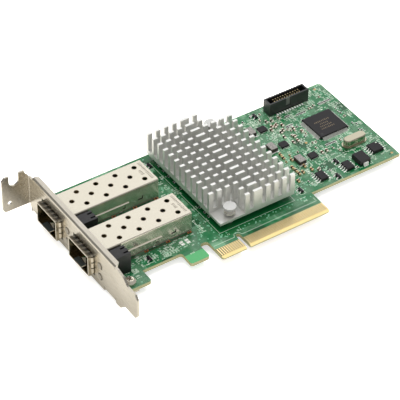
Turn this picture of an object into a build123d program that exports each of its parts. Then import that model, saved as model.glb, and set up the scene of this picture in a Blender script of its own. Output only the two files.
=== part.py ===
from build123d import *
from math import cos, radians, sin
import os

# Low-profile dual-port network card, lying with its components up.
# X runs along the card towards its tail, with 0 at the centre of the key slot.
# Y runs from the finger edge (0) to the top edge, Z is up from the component face of the board.
# All sizes are in millimetres.

# Where the bracket stands, and its sheet
BRACKET_X = -58.9
SHEET_T = 0.86
BRACKET_IN_X = BRACKET_X + SHEET_T

# Flat sides of small round shapes that something covers
ROUND_SIDES = 16

# Circuit board
BOARD_T = 1.57
BOARD_TOP_Y = 68.9
BOARD_TAIL_X = 84.0
BOARD_BEHIND = 0.44
BOARD_FRONT_X = BRACKET_IN_X + BOARD_BEHIND
BOARD_TAIL_CHAMFER = 1.0
BOARD_CORNER_R = 1.0
TAIL_EDGE_Y = 12.7
WAIST_EDGE_Y = 11.2
SCREW_TAB_X = -42.3
SCREW_TAB_Y = 4.5
STUB_X0 = -24.3
STUB_X1 = -15.8
STUB_Y = 3.9
STUB_R = 1.0
STUB_SHOULDER_R = 1.2
STUB_SLANT = 0.2
TONGUE_X0 = -12.15
TONGUE_X1 = 39.15
TONGUE_CORNER = 0.6
TONGUE_BEVEL_RUN = 1.3
TONGUE_BEVEL_DROP = 0.47
RELIEF_TOP_Y = 11.6
RELIEF_R = 1.5
KEY_W = 1.9
KEY_TOP_Y = 8.6

# Edge contacts
CONTACT_PITCH = 1.0
CONTACT_W = 0.7
CONTACT_T = 0.05
CONTACT_Y0 = 1.4
CONTACT_Y1 = 5.6
CONTACTS_SHORT = 11
CONTACTS_LONG = 38
CONTACT_FIRST_X = -11.5
CONTACT_AFTER_KEY_X = 1.5

# Bracket: a bent sheet that stands across the front end of the board
BRACKET_BOTTOM_Z = -2.75
BRACKET_TOP_Z = 15.65
BEND_IN_R = 0.3
BEND_R = BEND_IN_R + SHEET_T
FOLD_LAP = 3.0
LIP_DEPTH = 2.75
LIP_Y0 = 4.6
LIP_Y1 = 65.9
LIP_CORNER = 1.2
PORT_GAP = 0.65

# Screw tab at the far end of the bracket
TAB_Y = 68.5
TAB_OUT = 12.1
TAB_OUT_X = BRACKET_X - TAB_OUT
TAB_Z0 = 0.9
TAB_Z1 = 18.3
TAB_CORNER = 1.4
TAB_FOOT_R = 1.8
TAB_STEP_Z = 15.8
TAB_STEP_OUT = 0.4
TAB_STEP_L = 0.6
TAB_STEP_RELIEF = 0.1
TAB_STEP_X0 = BRACKET_X - TAB_STEP_OUT
TAB_STEP_X1 = TAB_STEP_X0 - TAB_STEP_L
TAB_HORN_OUT = 2.0
TAB_HORN_X = BRACKET_X - TAB_HORN_OUT
TAB_NOTCH_W = 4.5
TAB_NOTCH_OUT = 6.7
TAB_NOTCH_X = BRACKET_X - TAB_NOTCH_OUT
TAB_NOTCH_BOTTOM_Z = 12.9
TAB_HOLE_OUT = 9.0
TAB_HOLE_X = BRACKET_X - TAB_HOLE_OUT
TAB_HOLE_Z = 4.9
TAB_HOLE_R = 1.0

# Outline of the upright plate, and the tongue at its near end
PLATE_END_SETBACK = 0.2
PLATE_FOOT_SETBACK = 1.3
PLATE_END_Y = TAB_Y - PLATE_END_SETBACK
PLATE_FOOT_Y = TAB_Y - PLATE_FOOT_SETBACK
PLATE_CREST_Y = 2.4
PLATE_SHOULDER_Y = -1.6
PLATE_SHOULDER_RISE = 0.2
PLATE_CREST_R = 2.0
TONGUE_ROOT_Y0 = 0.8
TONGUE_ROOT_Y1 = -2.6
TONGUE_NECK_Y = -4.4
TONGUE_NECK_R = 1.0
TONGUE_END_Y = -11.3
TONGUE_POINT = 1.45
TONGUE_POINT_RISE = 1.8
TONGUE_Z0 = 0.4
TONGUE_Z1 = 12.2

# Lugs folded in under the board
LUG_W = 7.4
LUG_DEPTH = 11.0
LUG_YS = (8.2, 62.9)
LUG_SIDE_GAP = 0.5
LUG_TOP_Z = -0.6

# Bracket screws
SCREW_BEHIND = 8.9
SCREW_X = BRACKET_X + SCREW_BEHIND
SCREW_R = 1.25
SCREW_HEAD_R = 2.5
SCREW_HEAD_H = 1.9
SCREW_HEAD_SLOPE = 0.9
SCREW_TIP = 0.4
SCREW_RECESS_L = 2.6
SCREW_RECESS_W = 0.6
SCREW_RECESS_D = 0.8
SCREW_CLEARANCE = 0.3
SCREW_THREAD_GAP = 0.05

# Port cages
CAGE_YS = (26.95, 51.0)
CAGE_W = 14.25
CAGE_TOP_Z = 9.8
CAGE_Z0 = 0.3
CAGE_FOLD_R = 0.5
CAGE_T = 0.3
CAGE_OUT = 2.6
CAGE_FRONT_X = BRACKET_X - CAGE_OUT
CAGE_BACK_X = -13.9
CAGE_FLOOR_BACK_X = -31.0
VENT_R = 1.0
VENT_SIDES = 10
VENT_PITCH = 8.98
VENT_FIRST_X = -18.3
VENT_ROW_Y = 4.0
VENT_COUNT = 4
PIN_XS = (-15.0, -25.0, -35.0)
PIN_W = 0.6
PIN_DEPTH = 3.2
PIN_SLOT_GAP = 0.12
LEDGE_Z = 4.3
LEDGE_X0 = -43.4
LEDGE_X1 = -28.0
LEDGE_OUT = 0.45
LATCH_X = 3.9
LATCH_W = 2.6
LATCH_SLIT = 0.8
BACK_TAB_PITCH = 5.0
BACK_TAB_W = 1.2
BACK_TAB_H = 1.0
BACK_TAB_OUT = 0.4

# Spring-finger collars
COLLAR_T = 0.2
COLLAR_BAND = 1.3
COLLAR_BEHIND = 0.29
COLLAR_BACK_X = BRACKET_IN_X + COLLAR_BEHIND
FINGER_CREST_OUT = 0.6
FINGER_CREST_X = BRACKET_X - FINGER_CREST_OUT
FINGER_RISE = 0.55
FINGERS_WIDE = 5
FINGERS_TALL = 3
FINGER_GAP = 0.5

# Connectors inside the cages
SOCKET_X0 = -29.0
SOCKET_X1 = -20.0
SOCKET_W = CAGE_W - 2 * CAGE_T - 1.45
SOCKET_H = 5.6
SOCKET_SLOT_W = 9.6
SOCKET_SLOT_H = 1.6
SOCKET_SLOT_Z = 3.2
SOCKET_SLOT_DEPTH = 5.5

# Light guides beside the cages
LIGHT_X1 = -46.0
LIGHT_W = 5.4
LIGHT_H = 9.4
LIGHT_GAP = 0.3
LIGHT_CAGE_GAP = 0.9
LIGHT_STEP_L = 4.5
LIGHT_STEP_D = 0.5
LIGHT_GROOVE_L = 2.4
LIGHT_GROOVE_W = 0.8
LIGHT_GROOVE_D = 0.7
LIGHT_GROOVE_SHIFT = 1.3
LIGHT_BORE_ZS = (2.3, 7.7)
LIGHT_BORE_SHIFT = 1.0
LENS_R = 1.3
LENS_GAP = 0.3
LENS_OUT = 0.3

# Heat sink
SINK_X0 = -4.45
SINK_Y0 = 13.7
SINK_Z0 = 2.4
SINK_BASE_T = 2.4
SINK_H = 10.5
FIN_X = 2.1
FIN_LONG_X = 4.15
FIN_Y = 1.2
FIN_PITCH_X = 3.95
FIN_PITCH_Y = 4.035
FIN_ROWS = 14
FIN_COLUMNS_EACH_SIDE = 4
CORNER_COLUMNS = 3
CORNER_ROWS = 2
CORNER_DROP = 1.3

# Chip and pad under the heat sink
CONTROLLER_SIZE = 25.0
CONTROLLER_BASE_T = 1.1
CONTROLLER_CAP_SIZE = 17.0
CONTROLLER_CAP_T = 1.0

# Push pins that hold the heat sink down
PUSH_PIN_INSET_X = 6.65
PUSH_PIN_INSET_Y = 3.3
PUSH_CAP_R = 2.7
PUSH_CAP_T = 0.9
PUSH_CAP_TOP_Z = 7.7
PUSH_STEM_R = 1.3
PUSH_HOLE_R = PUSH_STEM_R + 0.3
PUSH_BARB_W = 2.9
PUSH_TIP_W = 1.2
PUSH_FOOT_H = 2.8
SPRING_WIRE = 0.45
SPRING_R = 2.1
SPRING_TURNS = 4
SPRING_FACETS = 7

# Shrouded header
HEADER_X0 = 53.0
HEADER_X1 = 72.85
HEADER_Y0 = 61.65
HEADER_Y1 = 66.35
HEADER_H = 6.2
HEADER_WALL = 0.7
HEADER_FLOOR = 1.6
HEADER_KEY_W = 2.2
HEADER_PITCH = 1.27
HEADER_PAIRS = 11
HEADER_PIN = 0.4
HEADER_PIN_TOP_Z = 5.6
HEADER_LEAD_OUT = 0.9
HEADER_LIFT = 0.3
HEADER_FOOT = 1.6
HEADER_KEY_SHIFT = 0.5
HEADER_KEY_Z = 2.2
HEADER_RIB = 0.5
HEADER_RIB_D = 0.3
HEADER_RIB_H = 2.6

# Moulded chips and their leads, all kinds
WAIST_SHARE = 0.45
WAIST_BAND = 0.25
BODY_DRAFT = 0.3
LEAD_T = 0.16
LEAD_KNEE = 0.5

# Square leaded chip
QUAD_X = 68.95
QUAD_Y = 44.35
QUAD_SIZE = 13.9
QUAD_H = 1.5
QUAD_STANDOFF = 0.12
QUAD_LEADS = 25
QUAD_PITCH = 0.5
QUAD_LEAD_W = 0.24
QUAD_LEAD_OUT = 1.0

# Crystal can
CRYSTAL_X = 72.4
CRYSTAL_Y = 28.6
CRYSTAL_L = 10.4
CRYSTAL_W = 3.9
CRYSTAL_H = 3.6
CRYSTAL_BASE_L = 11.6
CRYSTAL_BASE_W = 4.9
CRYSTAL_BASE_T = 0.6
CRYSTAL_RIM = 0.3

# Eight-lead chips: centre, body size in X and Y
SO_CHIPS = ((77.15, 20.65, 5.2, 5.3), (60.9, 17.6, 3.7, 4.9), (48.1, 18.1, 3.7, 4.9))
SO_H = 1.55
SO_STANDOFF = 0.12
SO_PITCH = 1.27
SO_LEAD_W = 0.42
SO_LEAD_OUT = 1.15

# Moulded block with two flat terminals
BLOCK_X = 67.95
BLOCK_Y = 17.85
BLOCK_W = 5.2
BLOCK_L = 6.2
BLOCK_H = 2.5
BLOCK_STANDOFF = 0.05
BLOCK_TERMINAL_W = 2.2
BLOCK_TERMINAL_OUT = 0.6

# Three-lead transistors: centre of each
TRANSISTORS = ((58.7, 22.6), (54.0, 14.9), (36.1, 15.9), (47.6, 64.8), (-6.6, 62.1), (-36.7, 15.1))
TRANSISTOR_W = 1.3
TRANSISTOR_L = 2.9
TRANSISTOR_H = 1.0
TRANSISTOR_STANDOFF = 0.05
TRANSISTOR_PITCH = 0.95
TRANSISTOR_LEAD_W = 0.42
TRANSISTOR_LEAD_OUT = 0.55

# Power stages: three square chips, each with an inductor beside it
POWER_CHIPS = ((45.2, 56.0), (47.0, 43.1), (53.0, 30.9))
POWER_CHIP_W = 3.6
POWER_CHIP_L = 3.3
POWER_CHIP_H = 0.9
INDUCTORS = ((39.7, 56.6), (41.4, 43.7), (46.6, 31.0))
INDUCTOR_W = 3.2
INDUCTOR_L = 4.6
INDUCTOR_H = 2.0
INDUCTOR_FOOT_W = 0.5
INDUCTOR_FOOT_T = 0.1
INDUCTOR_FOOT_INSET = 0.3
INDUCTOR_EDGE = 0.15

# Chip capacitors, their long side in Y: centres of the larger and of the smaller ones
LARGE_CAPS = (
    (49.7, 55.3), (52.1, 55.4), (51.4, 42.2), (53.6, 42.2), (57.5, 30.5), (59.8, 30.5),
    (49.7, 59.2), (51.9, 58.6), (55.5, 58.6), (41.6, 29.3), (41.7, 27.0), (41.7, 24.7),
    (46.3, 27.4), (42.0, 36.2), (42.2, 38.6),
)
LARGE_CAP = (0.85, 1.6, 0.8)
SMALL_CAPS = (
    (58.0, 37.8), (59.4, 37.4), (57.1, 34.3), (62.9, 30.5), (64.4, 27.8), (68.7, 33.2),
    (50.8, 23.2), (78.0, 61.0), (72.6, 57.6), (69.8, 56.9), (70.9, 56.8), (79.5, 44.8),
    (53.5, 46.2), (54.9, 45.4), (59.2, 44.2), (54.0, 50.2), (55.1, 49.2), (56.3, 48.3),
    (45.2, 36.2), (41.6, 33.6), (49.3, 36.2), (64.3, 15.2), (47.9, 61.6), (50.2, 64.9),
)
SMALL_CAP = (0.5, 1.0, 0.5)


def slab(x0, x1, y0, y1, z0, z1):
    """A box between two corners."""
    return Pos((x0 + x1) / 2, (y0 + y1) / 2, (z0 + z1) / 2) * Box(x1 - x0, y1 - y0, z1 - z0)


def post(x, y, z0, z1, r):
    """An upright cylinder."""
    return Pos(x, y, (z0 + z1) / 2) * Cylinder(r, z1 - z0)


def prism(x, y, z0, z1, r):
    """An upright round post or hole, drawn with flat sides."""
    return extrude(Pos(x, y, z0) * RegularPolygon(r, ROUND_SIDES), amount=z1 - z0)


def outline(corners):
    """A face through corners, each given as its two coordinates and, if it is rounded, a radius."""
    ends = []
    edges = []
    for i, corner in enumerate(corners):
        here = Vector(*corner[:2])
        to_last = (Vector(*corners[i - 1][:2]) - here).normalized()
        to_next = (Vector(*corners[(i + 1) % len(corners)][:2]) - here).normalized()
        r = corner[2] if len(corner) > 2 else 0
        half = radians(to_last.get_angle(to_next)) / 2
        start = here + to_last * (r * cos(half) / sin(half))
        end = here + to_next * (r * cos(half) / sin(half))
        if r:
            middle = here + (to_last + to_next).normalized() * (r / sin(half) - r)
            edges.append(ThreePointArc(start, middle, end))
        ends.append((start, end))
    for i, (start, _) in enumerate(ends):
        if (ends[i - 1][1] - start).length > 1e-6:
            edges.append(Line(ends[i - 1][1], start))
    return make_face(edges)


def plate_z(corners, z0, z1):
    """A plate with its outline in X and Y."""
    return extrude(Plane.XY.offset(z0) * outline(corners), amount=z1 - z0)


def plate_x(corners, x0, x1):
    """A plate with its outline in Y and Z."""
    return extrude(Plane.YZ.offset(x0) * outline(corners), amount=x1 - x0)


def plate_y(corners, y0, y1):
    """A plate with its outline in X and Z."""
    return extrude(Plane.XZ.offset(-y1) * outline(corners), amount=y1 - y0)


def bent(origin, leg, other_leg, leg_length, other_length, width):
    """Sheet folded round an edge; origin is the outer corner, width runs along leg x other_leg."""
    t = SHEET_T
    corners = [
        (0, 0, BEND_R), (leg_length, 0), (leg_length, t),
        (t, t, BEND_IN_R), (t, other_length), (0, other_length),
    ]
    normal = Vector(*leg).cross(Vector(*other_leg))
    plane = Plane(origin=origin, x_dir=leg, z_dir=(normal.X, normal.Y, normal.Z))
    return extrude(plane * outline(corners), amount=width)


def disc_x(x0, x1, y, z, r):
    """A cylinder that lies along X."""
    return Pos((x0 + x1) / 2, y, z) * Rot(0, 90, 0) * Cylinder(r, x1 - x0)


def disc_y(y0, y1, x, z, r):
    """A cylinder that lies along Y."""
    return Pos(x, (y0 + y1) / 2, z) * Rot(90, 0, 0) * Cylinder(r, y1 - y0)


def group(solids):
    """Separate solids of one kind as one piece."""
    return Compound(children=[s for s in solids])


def cage_pin_spots():
    """Where the press-fit pins of both cages go through the board."""
    side = CAGE_W / 2 - CAGE_T / 2
    return [(x, y + s * side) for y in CAGE_YS for s in (-1, 1) for x in PIN_XS]


def push_pin_spots():
    """The two push pins, at opposite corners of the heat sink."""
    x1, y1 = sink_end()
    near = (SINK_X0 + PUSH_PIN_INSET_X, SINK_Y0 + PUSH_PIN_INSET_Y)
    far = (x1 - PUSH_PIN_INSET_X, y1 - PUSH_PIN_INSET_Y)
    return near, far


def sink_end():
    """The far corner of the heat sink."""
    gap = FIN_PITCH_X - FIN_X
    n = FIN_COLUMNS_EACH_SIDE
    x1 = SINK_X0 + 2 * n * FIN_X + FIN_LONG_X + 2 * n * gap
    return x1, SINK_Y0 + (FIN_ROWS - 1) * FIN_PITCH_Y + FIN_Y


def circuit_board():
    half_key = KEY_W / 2
    board = plate_z([
        (BOARD_FRONT_X, SCREW_TAB_Y), (SCREW_TAB_X, SCREW_TAB_Y, BOARD_CORNER_R),
        (SCREW_TAB_X, WAIST_EDGE_Y),
        (STUB_X0, WAIST_EDGE_Y, STUB_SHOULDER_R), (STUB_X0 - STUB_SLANT, STUB_Y, STUB_R),
        (STUB_X1, STUB_Y, STUB_R), (STUB_X1, RELIEF_TOP_Y, RELIEF_R), (TONGUE_X0, RELIEF_TOP_Y, RELIEF_R),
        (TONGUE_X0, TONGUE_CORNER), (TONGUE_X0 + TONGUE_CORNER, 0),
        (-half_key, 0), (-half_key, KEY_TOP_Y, half_key), (half_key, KEY_TOP_Y, half_key),
        (half_key, 0), (TONGUE_X1 - TONGUE_CORNER, 0), (TONGUE_X1, TONGUE_CORNER), (TONGUE_X1, TAIL_EDGE_Y),
        (BOARD_TAIL_X, TAIL_EDGE_Y), (BOARD_TAIL_X, BOARD_TOP_Y - BOARD_TAIL_CHAMFER),
        (BOARD_TAIL_X - BOARD_TAIL_CHAMFER, BOARD_TOP_Y), (BOARD_FRONT_X, BOARD_TOP_Y),
    ], -BOARD_T, 0)
    run = TONGUE_BEVEL_RUN
    drop = TONGUE_BEVEL_DROP
    for z, up in ((0, 1), (-BOARD_T, -1)):
        wedge = [(run, z), (0, z - up * drop), (-1, z - up * drop), (-1, z + up), (run, z + up)]
        board -= plate_x(wedge, TONGUE_X0 - 1, TONGUE_X1 + 1)
    low = -BOARD_T - 1
    for y in LUG_YS:
        board -= prism(SCREW_X, y, low, 1, SCREW_R + SCREW_CLEARANCE)
    for x, y in push_pin_spots():
        board -= prism(x, y, low, 1, PUSH_HOLE_R)
    for x, y in cage_pin_spots():
        half_w = PIN_W / 2 + PIN_SLOT_GAP
        half_t = CAGE_T / 2 + PIN_SLOT_GAP
        board -= slab(x - half_w, x + half_w, y - half_t, y + half_t, low, 1)
    return board


def edge_contacts(z0, z1):
    """One row of contact pads on a face of the tongue."""
    xs = [CONTACT_FIRST_X + i * CONTACT_PITCH for i in range(CONTACTS_SHORT)]
    xs += [CONTACT_AFTER_KEY_X + i * CONTACT_PITCH for i in range(CONTACTS_LONG)]
    half = CONTACT_W / 2
    return group([slab(x - half, x + half, CONTACT_Y0, CONTACT_Y1, z0, z1) for x in xs])


def bracket_plate():
    """The upright plate with its tongue, before the folded parts are added."""
    zb = BRACKET_BOTTOM_Z
    zt = BRACKET_TOP_Z - BEND_R
    fold_y = LIP_Y0 - BEND_IN_R
    plate = plate_x([
        (PLATE_END_Y, zt), (PLATE_END_Y, TAB_Z0), (PLATE_FOOT_Y, zb), (TONGUE_ROOT_Y0, zb),
        (TONGUE_ROOT_Y1, TONGUE_Z0), (TONGUE_END_Y + TONGUE_POINT, TONGUE_Z0),
        (TONGUE_END_Y, TONGUE_Z0 + TONGUE_POINT_RISE), (TONGUE_END_Y, TONGUE_Z1 - TONGUE_POINT_RISE),
        (TONGUE_END_Y + TONGUE_POINT, TONGUE_Z1), (TONGUE_NECK_Y, TONGUE_Z1, TONGUE_NECK_R),
        (PLATE_SHOULDER_Y, zt + PLATE_SHOULDER_RISE, PLATE_CREST_R),
        (PLATE_CREST_Y, BRACKET_TOP_Z, PLATE_CREST_R), (fold_y, BRACKET_TOP_Z), (fold_y, zt),
    ], BRACKET_X, BRACKET_IN_X)
    for y in LUG_YS:
        half = LUG_W / 2
        notch = half + LUG_SIDE_GAP
        plate -= slab(BRACKET_X - 1, BRACKET_IN_X + 1, y - notch, y + notch, zb - 1, LUG_TOP_Z)
        plate += slab(BRACKET_X, BRACKET_IN_X, y - half, y + half, LUG_TOP_Z - 0.1, LUG_TOP_Z + 0.1)
    return plate


def bracket_tab():
    """The screw tab, folded away from the card at the far end of the plate."""
    zt = BRACKET_TOP_Z - BEND_R
    origin = (BRACKET_IN_X, TAB_Y + SHEET_T, TAB_Z0)
    length = BRACKET_IN_X - TAB_OUT_X
    tab = bent(origin, (-1, 0, 0), (0, -1, 0), length, FOLD_LAP, TAB_Z1 - TAB_Z0)
    tab &= plate_y([
        (TAB_OUT_X, TAB_Z0, TAB_FOOT_R), (BRACKET_IN_X + 1, TAB_Z0), (BRACKET_IN_X + 1, zt),
        (BRACKET_X - TAB_STEP_RELIEF, zt), (TAB_STEP_X0, TAB_STEP_Z), (TAB_STEP_X1, TAB_STEP_Z),
        (TAB_HORN_X, TAB_Z1),
        (TAB_OUT_X + TAB_CORNER, TAB_Z1), (TAB_OUT_X, TAB_Z1 - TAB_CORNER),
    ], TAB_Y - FOLD_LAP - 1, TAB_Y + 1)
    r = TAB_NOTCH_W / 2
    low = TAB_NOTCH_BOTTOM_Z + r
    y0 = TAB_Y - 1
    y1 = TAB_Y + SHEET_T + 1
    tab -= disc_y(y0, y1, TAB_NOTCH_X, low, r)
    tab -= slab(TAB_NOTCH_X - r, TAB_NOTCH_X + r, y0, y1, low, TAB_Z1 + 1)
    tab -= disc_y(y0, y1, TAB_HOLE_X, TAB_HOLE_Z, TAB_HOLE_R)
    return tab


def bracket_lip():
    """The stiffening lip along the top of the plate, with its two free corners cut off."""
    origin = (BRACKET_X, LIP_Y0, BRACKET_TOP_Z)
    lip = bent(origin, (1, 0, 0), (0, 0, -1), LIP_DEPTH, FOLD_LAP, LIP_Y1 - LIP_Y0)
    x1 = BRACKET_X + LIP_DEPTH
    c = LIP_CORNER
    for y, way in ((LIP_Y0, 1), (LIP_Y1, -1)):
        corner = [(x1 - c, y), (x1 + c, y - way * c), (x1 + c, y + way * c), (x1, y + way * c)]
        lip -= plate_z(corner[::way], BRACKET_TOP_Z - FOLD_LAP, BRACKET_TOP_Z + 1)
    return lip


def bracket():
    shape = bracket_plate() + bracket_lip() + bracket_tab()
    lug_z = -BOARD_T - SHEET_T
    for y in LUG_YS:
        origin = (BRACKET_X, y + LUG_W / 2, lug_z)
        shape += bent(origin, (1, 0, 0), (0, 0, 1), LUG_DEPTH, LUG_TOP_Z - lug_z, LUG_W)
        shape -= prism(SCREW_X, y, lug_z - 1, -BOARD_T + 1, SCREW_R + SCREW_THREAD_GAP)
    for y in CAGE_YS:
        half = CAGE_W / 2 + PORT_GAP
        low = CAGE_Z0 - PORT_GAP
        shape -= slab(BRACKET_X - 1, BRACKET_IN_X + 1, y - half, y + half, low, CAGE_TOP_Z + PORT_GAP)
        for z in LIGHT_BORE_ZS:
            shape -= disc_x(BRACKET_X - 1, BRACKET_IN_X + 1, light_bore_y(y), z, LENS_R + LENS_GAP)
    return shape


def bracket_screws():
    """Pan-head screws with a cross recess, driven through the board into the folded lugs."""
    r = SCREW_HEAD_R
    h = SCREW_HEAD_H
    tip = -BOARD_T - SHEET_T - SCREW_TIP
    half = outline([(0, h), (r - SCREW_HEAD_SLOPE, h), (r, h - SCREW_HEAD_SLOPE), (r, 0), (0, 0)])
    screw = revolve(Plane.XZ * half, Axis.Z, 360) + prism(0, 0, tip, 0, SCREW_R)
    for turn in (45, 135):
        screw -= Pos(0, 0, h) * Rot(0, 0, turn) * Box(SCREW_RECESS_L, SCREW_RECESS_W, 2 * SCREW_RECESS_D)
    return group([Pos(SCREW_X, y, 0) * screw for y in LUG_YS])


def folded_box(x0, x1, y0, y1, z0, z1, r):
    """A box whose two long upper edges are rounded, as folded sheet is."""
    box = slab(x0, x1, y0, y1, z0, z1)
    return fillet(box.edges().filter_by(Axis.X).group_by(Axis.Z)[-1], r)


def vent_spots(y):
    """Three rows of vents on the roof of a cage, the middle row half a pitch back."""
    spots = []
    for i in range(VENT_COUNT):
        x = VENT_FIRST_X - i * VENT_PITCH
        spots += [(x, y + VENT_ROW_Y), (x, y - VENT_ROW_Y), (x - VENT_PITCH / 2, y)]
    return spots


def cage_floor_cuts(y):
    """The open back of the floor for the connector, and the latch window with its two slits."""
    t = CAGE_T
    half = CAGE_W / 2 - t
    z0 = CAGE_Z0 - 1
    z1 = CAGE_Z0 + t + 0.1
    latch_x = CAGE_FRONT_X + LATCH_X
    cuts = slab(CAGE_FLOOR_BACK_X, CAGE_BACK_X - t, y - half, y + half, z0, z1)
    cuts += slab(latch_x, latch_x + LATCH_W, y - LATCH_W / 2, y + LATCH_W / 2, z0, z1)
    for side in (-1, 1):
        slit = y + side * LATCH_W
        y0, y1 = slit - LATCH_SLIT / 2, slit + LATCH_SLIT / 2
        cuts += slab(CAGE_FRONT_X - 1, latch_x + 1.5 * LATCH_W, y0, y1, z0, z1)
    return cuts


def sfp_cage(y):
    """A port cage: folded sheet, open at the front, with vents, a floor latch and press-fit pins."""
    half = CAGE_W / 2
    t = CAGE_T
    z0 = CAGE_Z0
    cage = folded_box(CAGE_FRONT_X, CAGE_BACK_X, y - half, y + half, z0, CAGE_TOP_Z, CAGE_FOLD_R)
    cage -= folded_box(CAGE_FRONT_X - 1, CAGE_BACK_X - t, y - half + t, y + half - t, z0 + t,
                       CAGE_TOP_Z - t, CAGE_FOLD_R - t)
    cage -= cage_floor_cuts(y)
    vents = Sketch() + [Pos(vx, vy) * RegularPolygon(VENT_R, VENT_SIDES) for vx, vy in vent_spots(y)]
    cage -= extrude(Pos(0, 0, CAGE_TOP_Z - 2 * t) * vents, amount=3 * t)
    for side in (-1, 1):
        face = y + side * half
        rib = [(face, LEDGE_Z - LEDGE_OUT), (face + side * LEDGE_OUT, LEDGE_Z),
               (face, LEDGE_Z + LEDGE_OUT / 2)]
        cage += plate_x(rib[::side], LEDGE_X0, LEDGE_X1)
        y0, y1 = sorted((face, face - side * t))
        for x in PIN_XS:
            cage += slab(x - PIN_W / 2, x + PIN_W / 2, y0, y1, -PIN_DEPTH, z0)
    for k in (-1, 0, 1):
        tab = y + k * BACK_TAB_PITCH
        cage += slab(CAGE_BACK_X, CAGE_BACK_X + BACK_TAB_OUT, tab - BACK_TAB_W / 2, tab + BACK_TAB_W / 2,
                     CAGE_TOP_Z - CAGE_FOLD_R - BACK_TAB_H, CAGE_TOP_Z - CAGE_FOLD_R)
    return cage


def finger_profile(x0):
    """A spring finger seen from the side: distance along the cage, then height off its wall."""
    t = COLLAR_T
    top = FINGER_CREST_X
    under = [(x0, 0), (top, FINGER_RISE - t), (COLLAR_BACK_X, 0)]
    return under + [(COLLAR_BACK_X, t), (top, FINGER_RISE), (x0, t)]


def emi_collar(y):
    """A spring-finger collar round the front of a cage, filling the gap to the bracket."""
    t = COLLAR_T
    half = CAGE_W / 2
    x0 = CAGE_FRONT_X + COLLAR_BAND
    low = CAGE_Z0
    high = CAGE_TOP_Z
    collar = folded_box(CAGE_FRONT_X, x0, y - half - t, y + half + t, low - t, high + t, CAGE_FOLD_R + t)
    collar -= folded_box(CAGE_FRONT_X - 1, x0 + 1, y - half, y + half, low, high, CAGE_FOLD_R)
    profile = finger_profile(x0)
    pitch = (CAGE_W - 2 * CAGE_FOLD_R) / FINGERS_WIDE
    for i in range(FINGERS_WIDE):
        y0 = y - half + CAGE_FOLD_R + i * pitch + FINGER_GAP / 2
        y1 = y0 + pitch - FINGER_GAP
        collar += plate_y([(x, high + h) for x, h in profile], y0, y1)
        collar += plate_y([(x, low - h) for x, h in profile[::-1]], y0, y1)
    pitch = (high - low - 2 * CAGE_FOLD_R) / FINGERS_TALL
    for i in range(FINGERS_TALL):
        z0 = low + CAGE_FOLD_R + i * pitch + FINGER_GAP / 2
        z1 = z0 + pitch - FINGER_GAP
        collar += plate_z([(x, y + half + h) for x, h in profile], z0, z1)
        collar += plate_z([(x, y - half - h) for x, h in profile[::-1]], z0, z1)
    return collar


def sfp_socket(y):
    """The card-edge connector at the back of a cage."""
    half = SOCKET_W / 2
    body = slab(SOCKET_X0, SOCKET_X1, y - half, y + half, 0, SOCKET_H)
    z = SOCKET_SLOT_Z
    slot_half = SOCKET_SLOT_W / 2
    depth = SOCKET_X0 + SOCKET_SLOT_DEPTH
    height = SOCKET_SLOT_H / 2
    return body - slab(SOCKET_X0 - 1, depth, y - slot_half, y + slot_half, z - height, z + height)


def light_y(cage_y):
    """Middle of the light guide that stands on the near side of a cage."""
    return cage_y - CAGE_W / 2 - LIGHT_CAGE_GAP - LIGHT_W / 2


def light_bore_y(cage_y):
    """The light holes sit towards the near side of the light guide."""
    return light_y(cage_y) - LIGHT_BORE_SHIFT


def led_housing(cage_y):
    """A black light-guide block on the near side of a cage, with grooves on its back edge."""
    y = light_y(cage_y)
    half = LIGHT_W / 2
    x0 = BRACKET_IN_X + LIGHT_GAP
    top = LIGHT_H + 1
    block = slab(x0, LIGHT_X1, y - half, y + half, 0, LIGHT_H)
    block -= slab(x0 - 1, x0 + LIGHT_STEP_L, y - half - 1, y + half + 1, LIGHT_H - LIGHT_STEP_D, top)
    for side in (-1, 1):
        groove = y + side * LIGHT_GROOVE_SHIFT
        y0 = groove - LIGHT_GROOVE_W / 2
        y1 = groove + LIGHT_GROOVE_W / 2
        block -= slab(LIGHT_X1 - LIGHT_GROOVE_L, LIGHT_X1 + 1, y0, y1, LIGHT_H - LIGHT_GROOVE_D, top)
    return block


def led_lenses(cage_y):
    """Two clear rods from the block through the holes in the bracket."""
    length = LENS_OUT + SHEET_T + LIGHT_GAP
    face = Plane.YZ.offset(BRACKET_X - LENS_OUT)
    spots = [Pos(light_bore_y(cage_y), z) for z in LIGHT_BORE_ZS]
    rods = [extrude(face * spot * RegularPolygon(LENS_R, ROUND_SIDES), amount=length) for spot in spots]
    return group(rods)


def fin_spots():
    """Centre and length in X of every pin of the heat sink."""
    gap = FIN_PITCH_X - FIN_X
    n = FIN_COLUMNS_EACH_SIDE
    x = SINK_X0
    columns = []
    for column in range(2 * n + 1):
        length = FIN_LONG_X if column == n else FIN_X
        columns.append((x + length / 2, length))
        x += length + gap
    spots = []
    for row in range(FIN_ROWS):
        for column, (cx, length) in enumerate(columns):
            near_cut = row < CORNER_ROWS and column < CORNER_COLUMNS
            far_cut = row >= FIN_ROWS - CORNER_ROWS and column >= len(columns) - CORNER_COLUMNS
            if not near_cut and not far_cut:
                spots.append((cx, SINK_Y0 + FIN_Y / 2 + row * FIN_PITCH_Y, length))
    return spots


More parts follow.
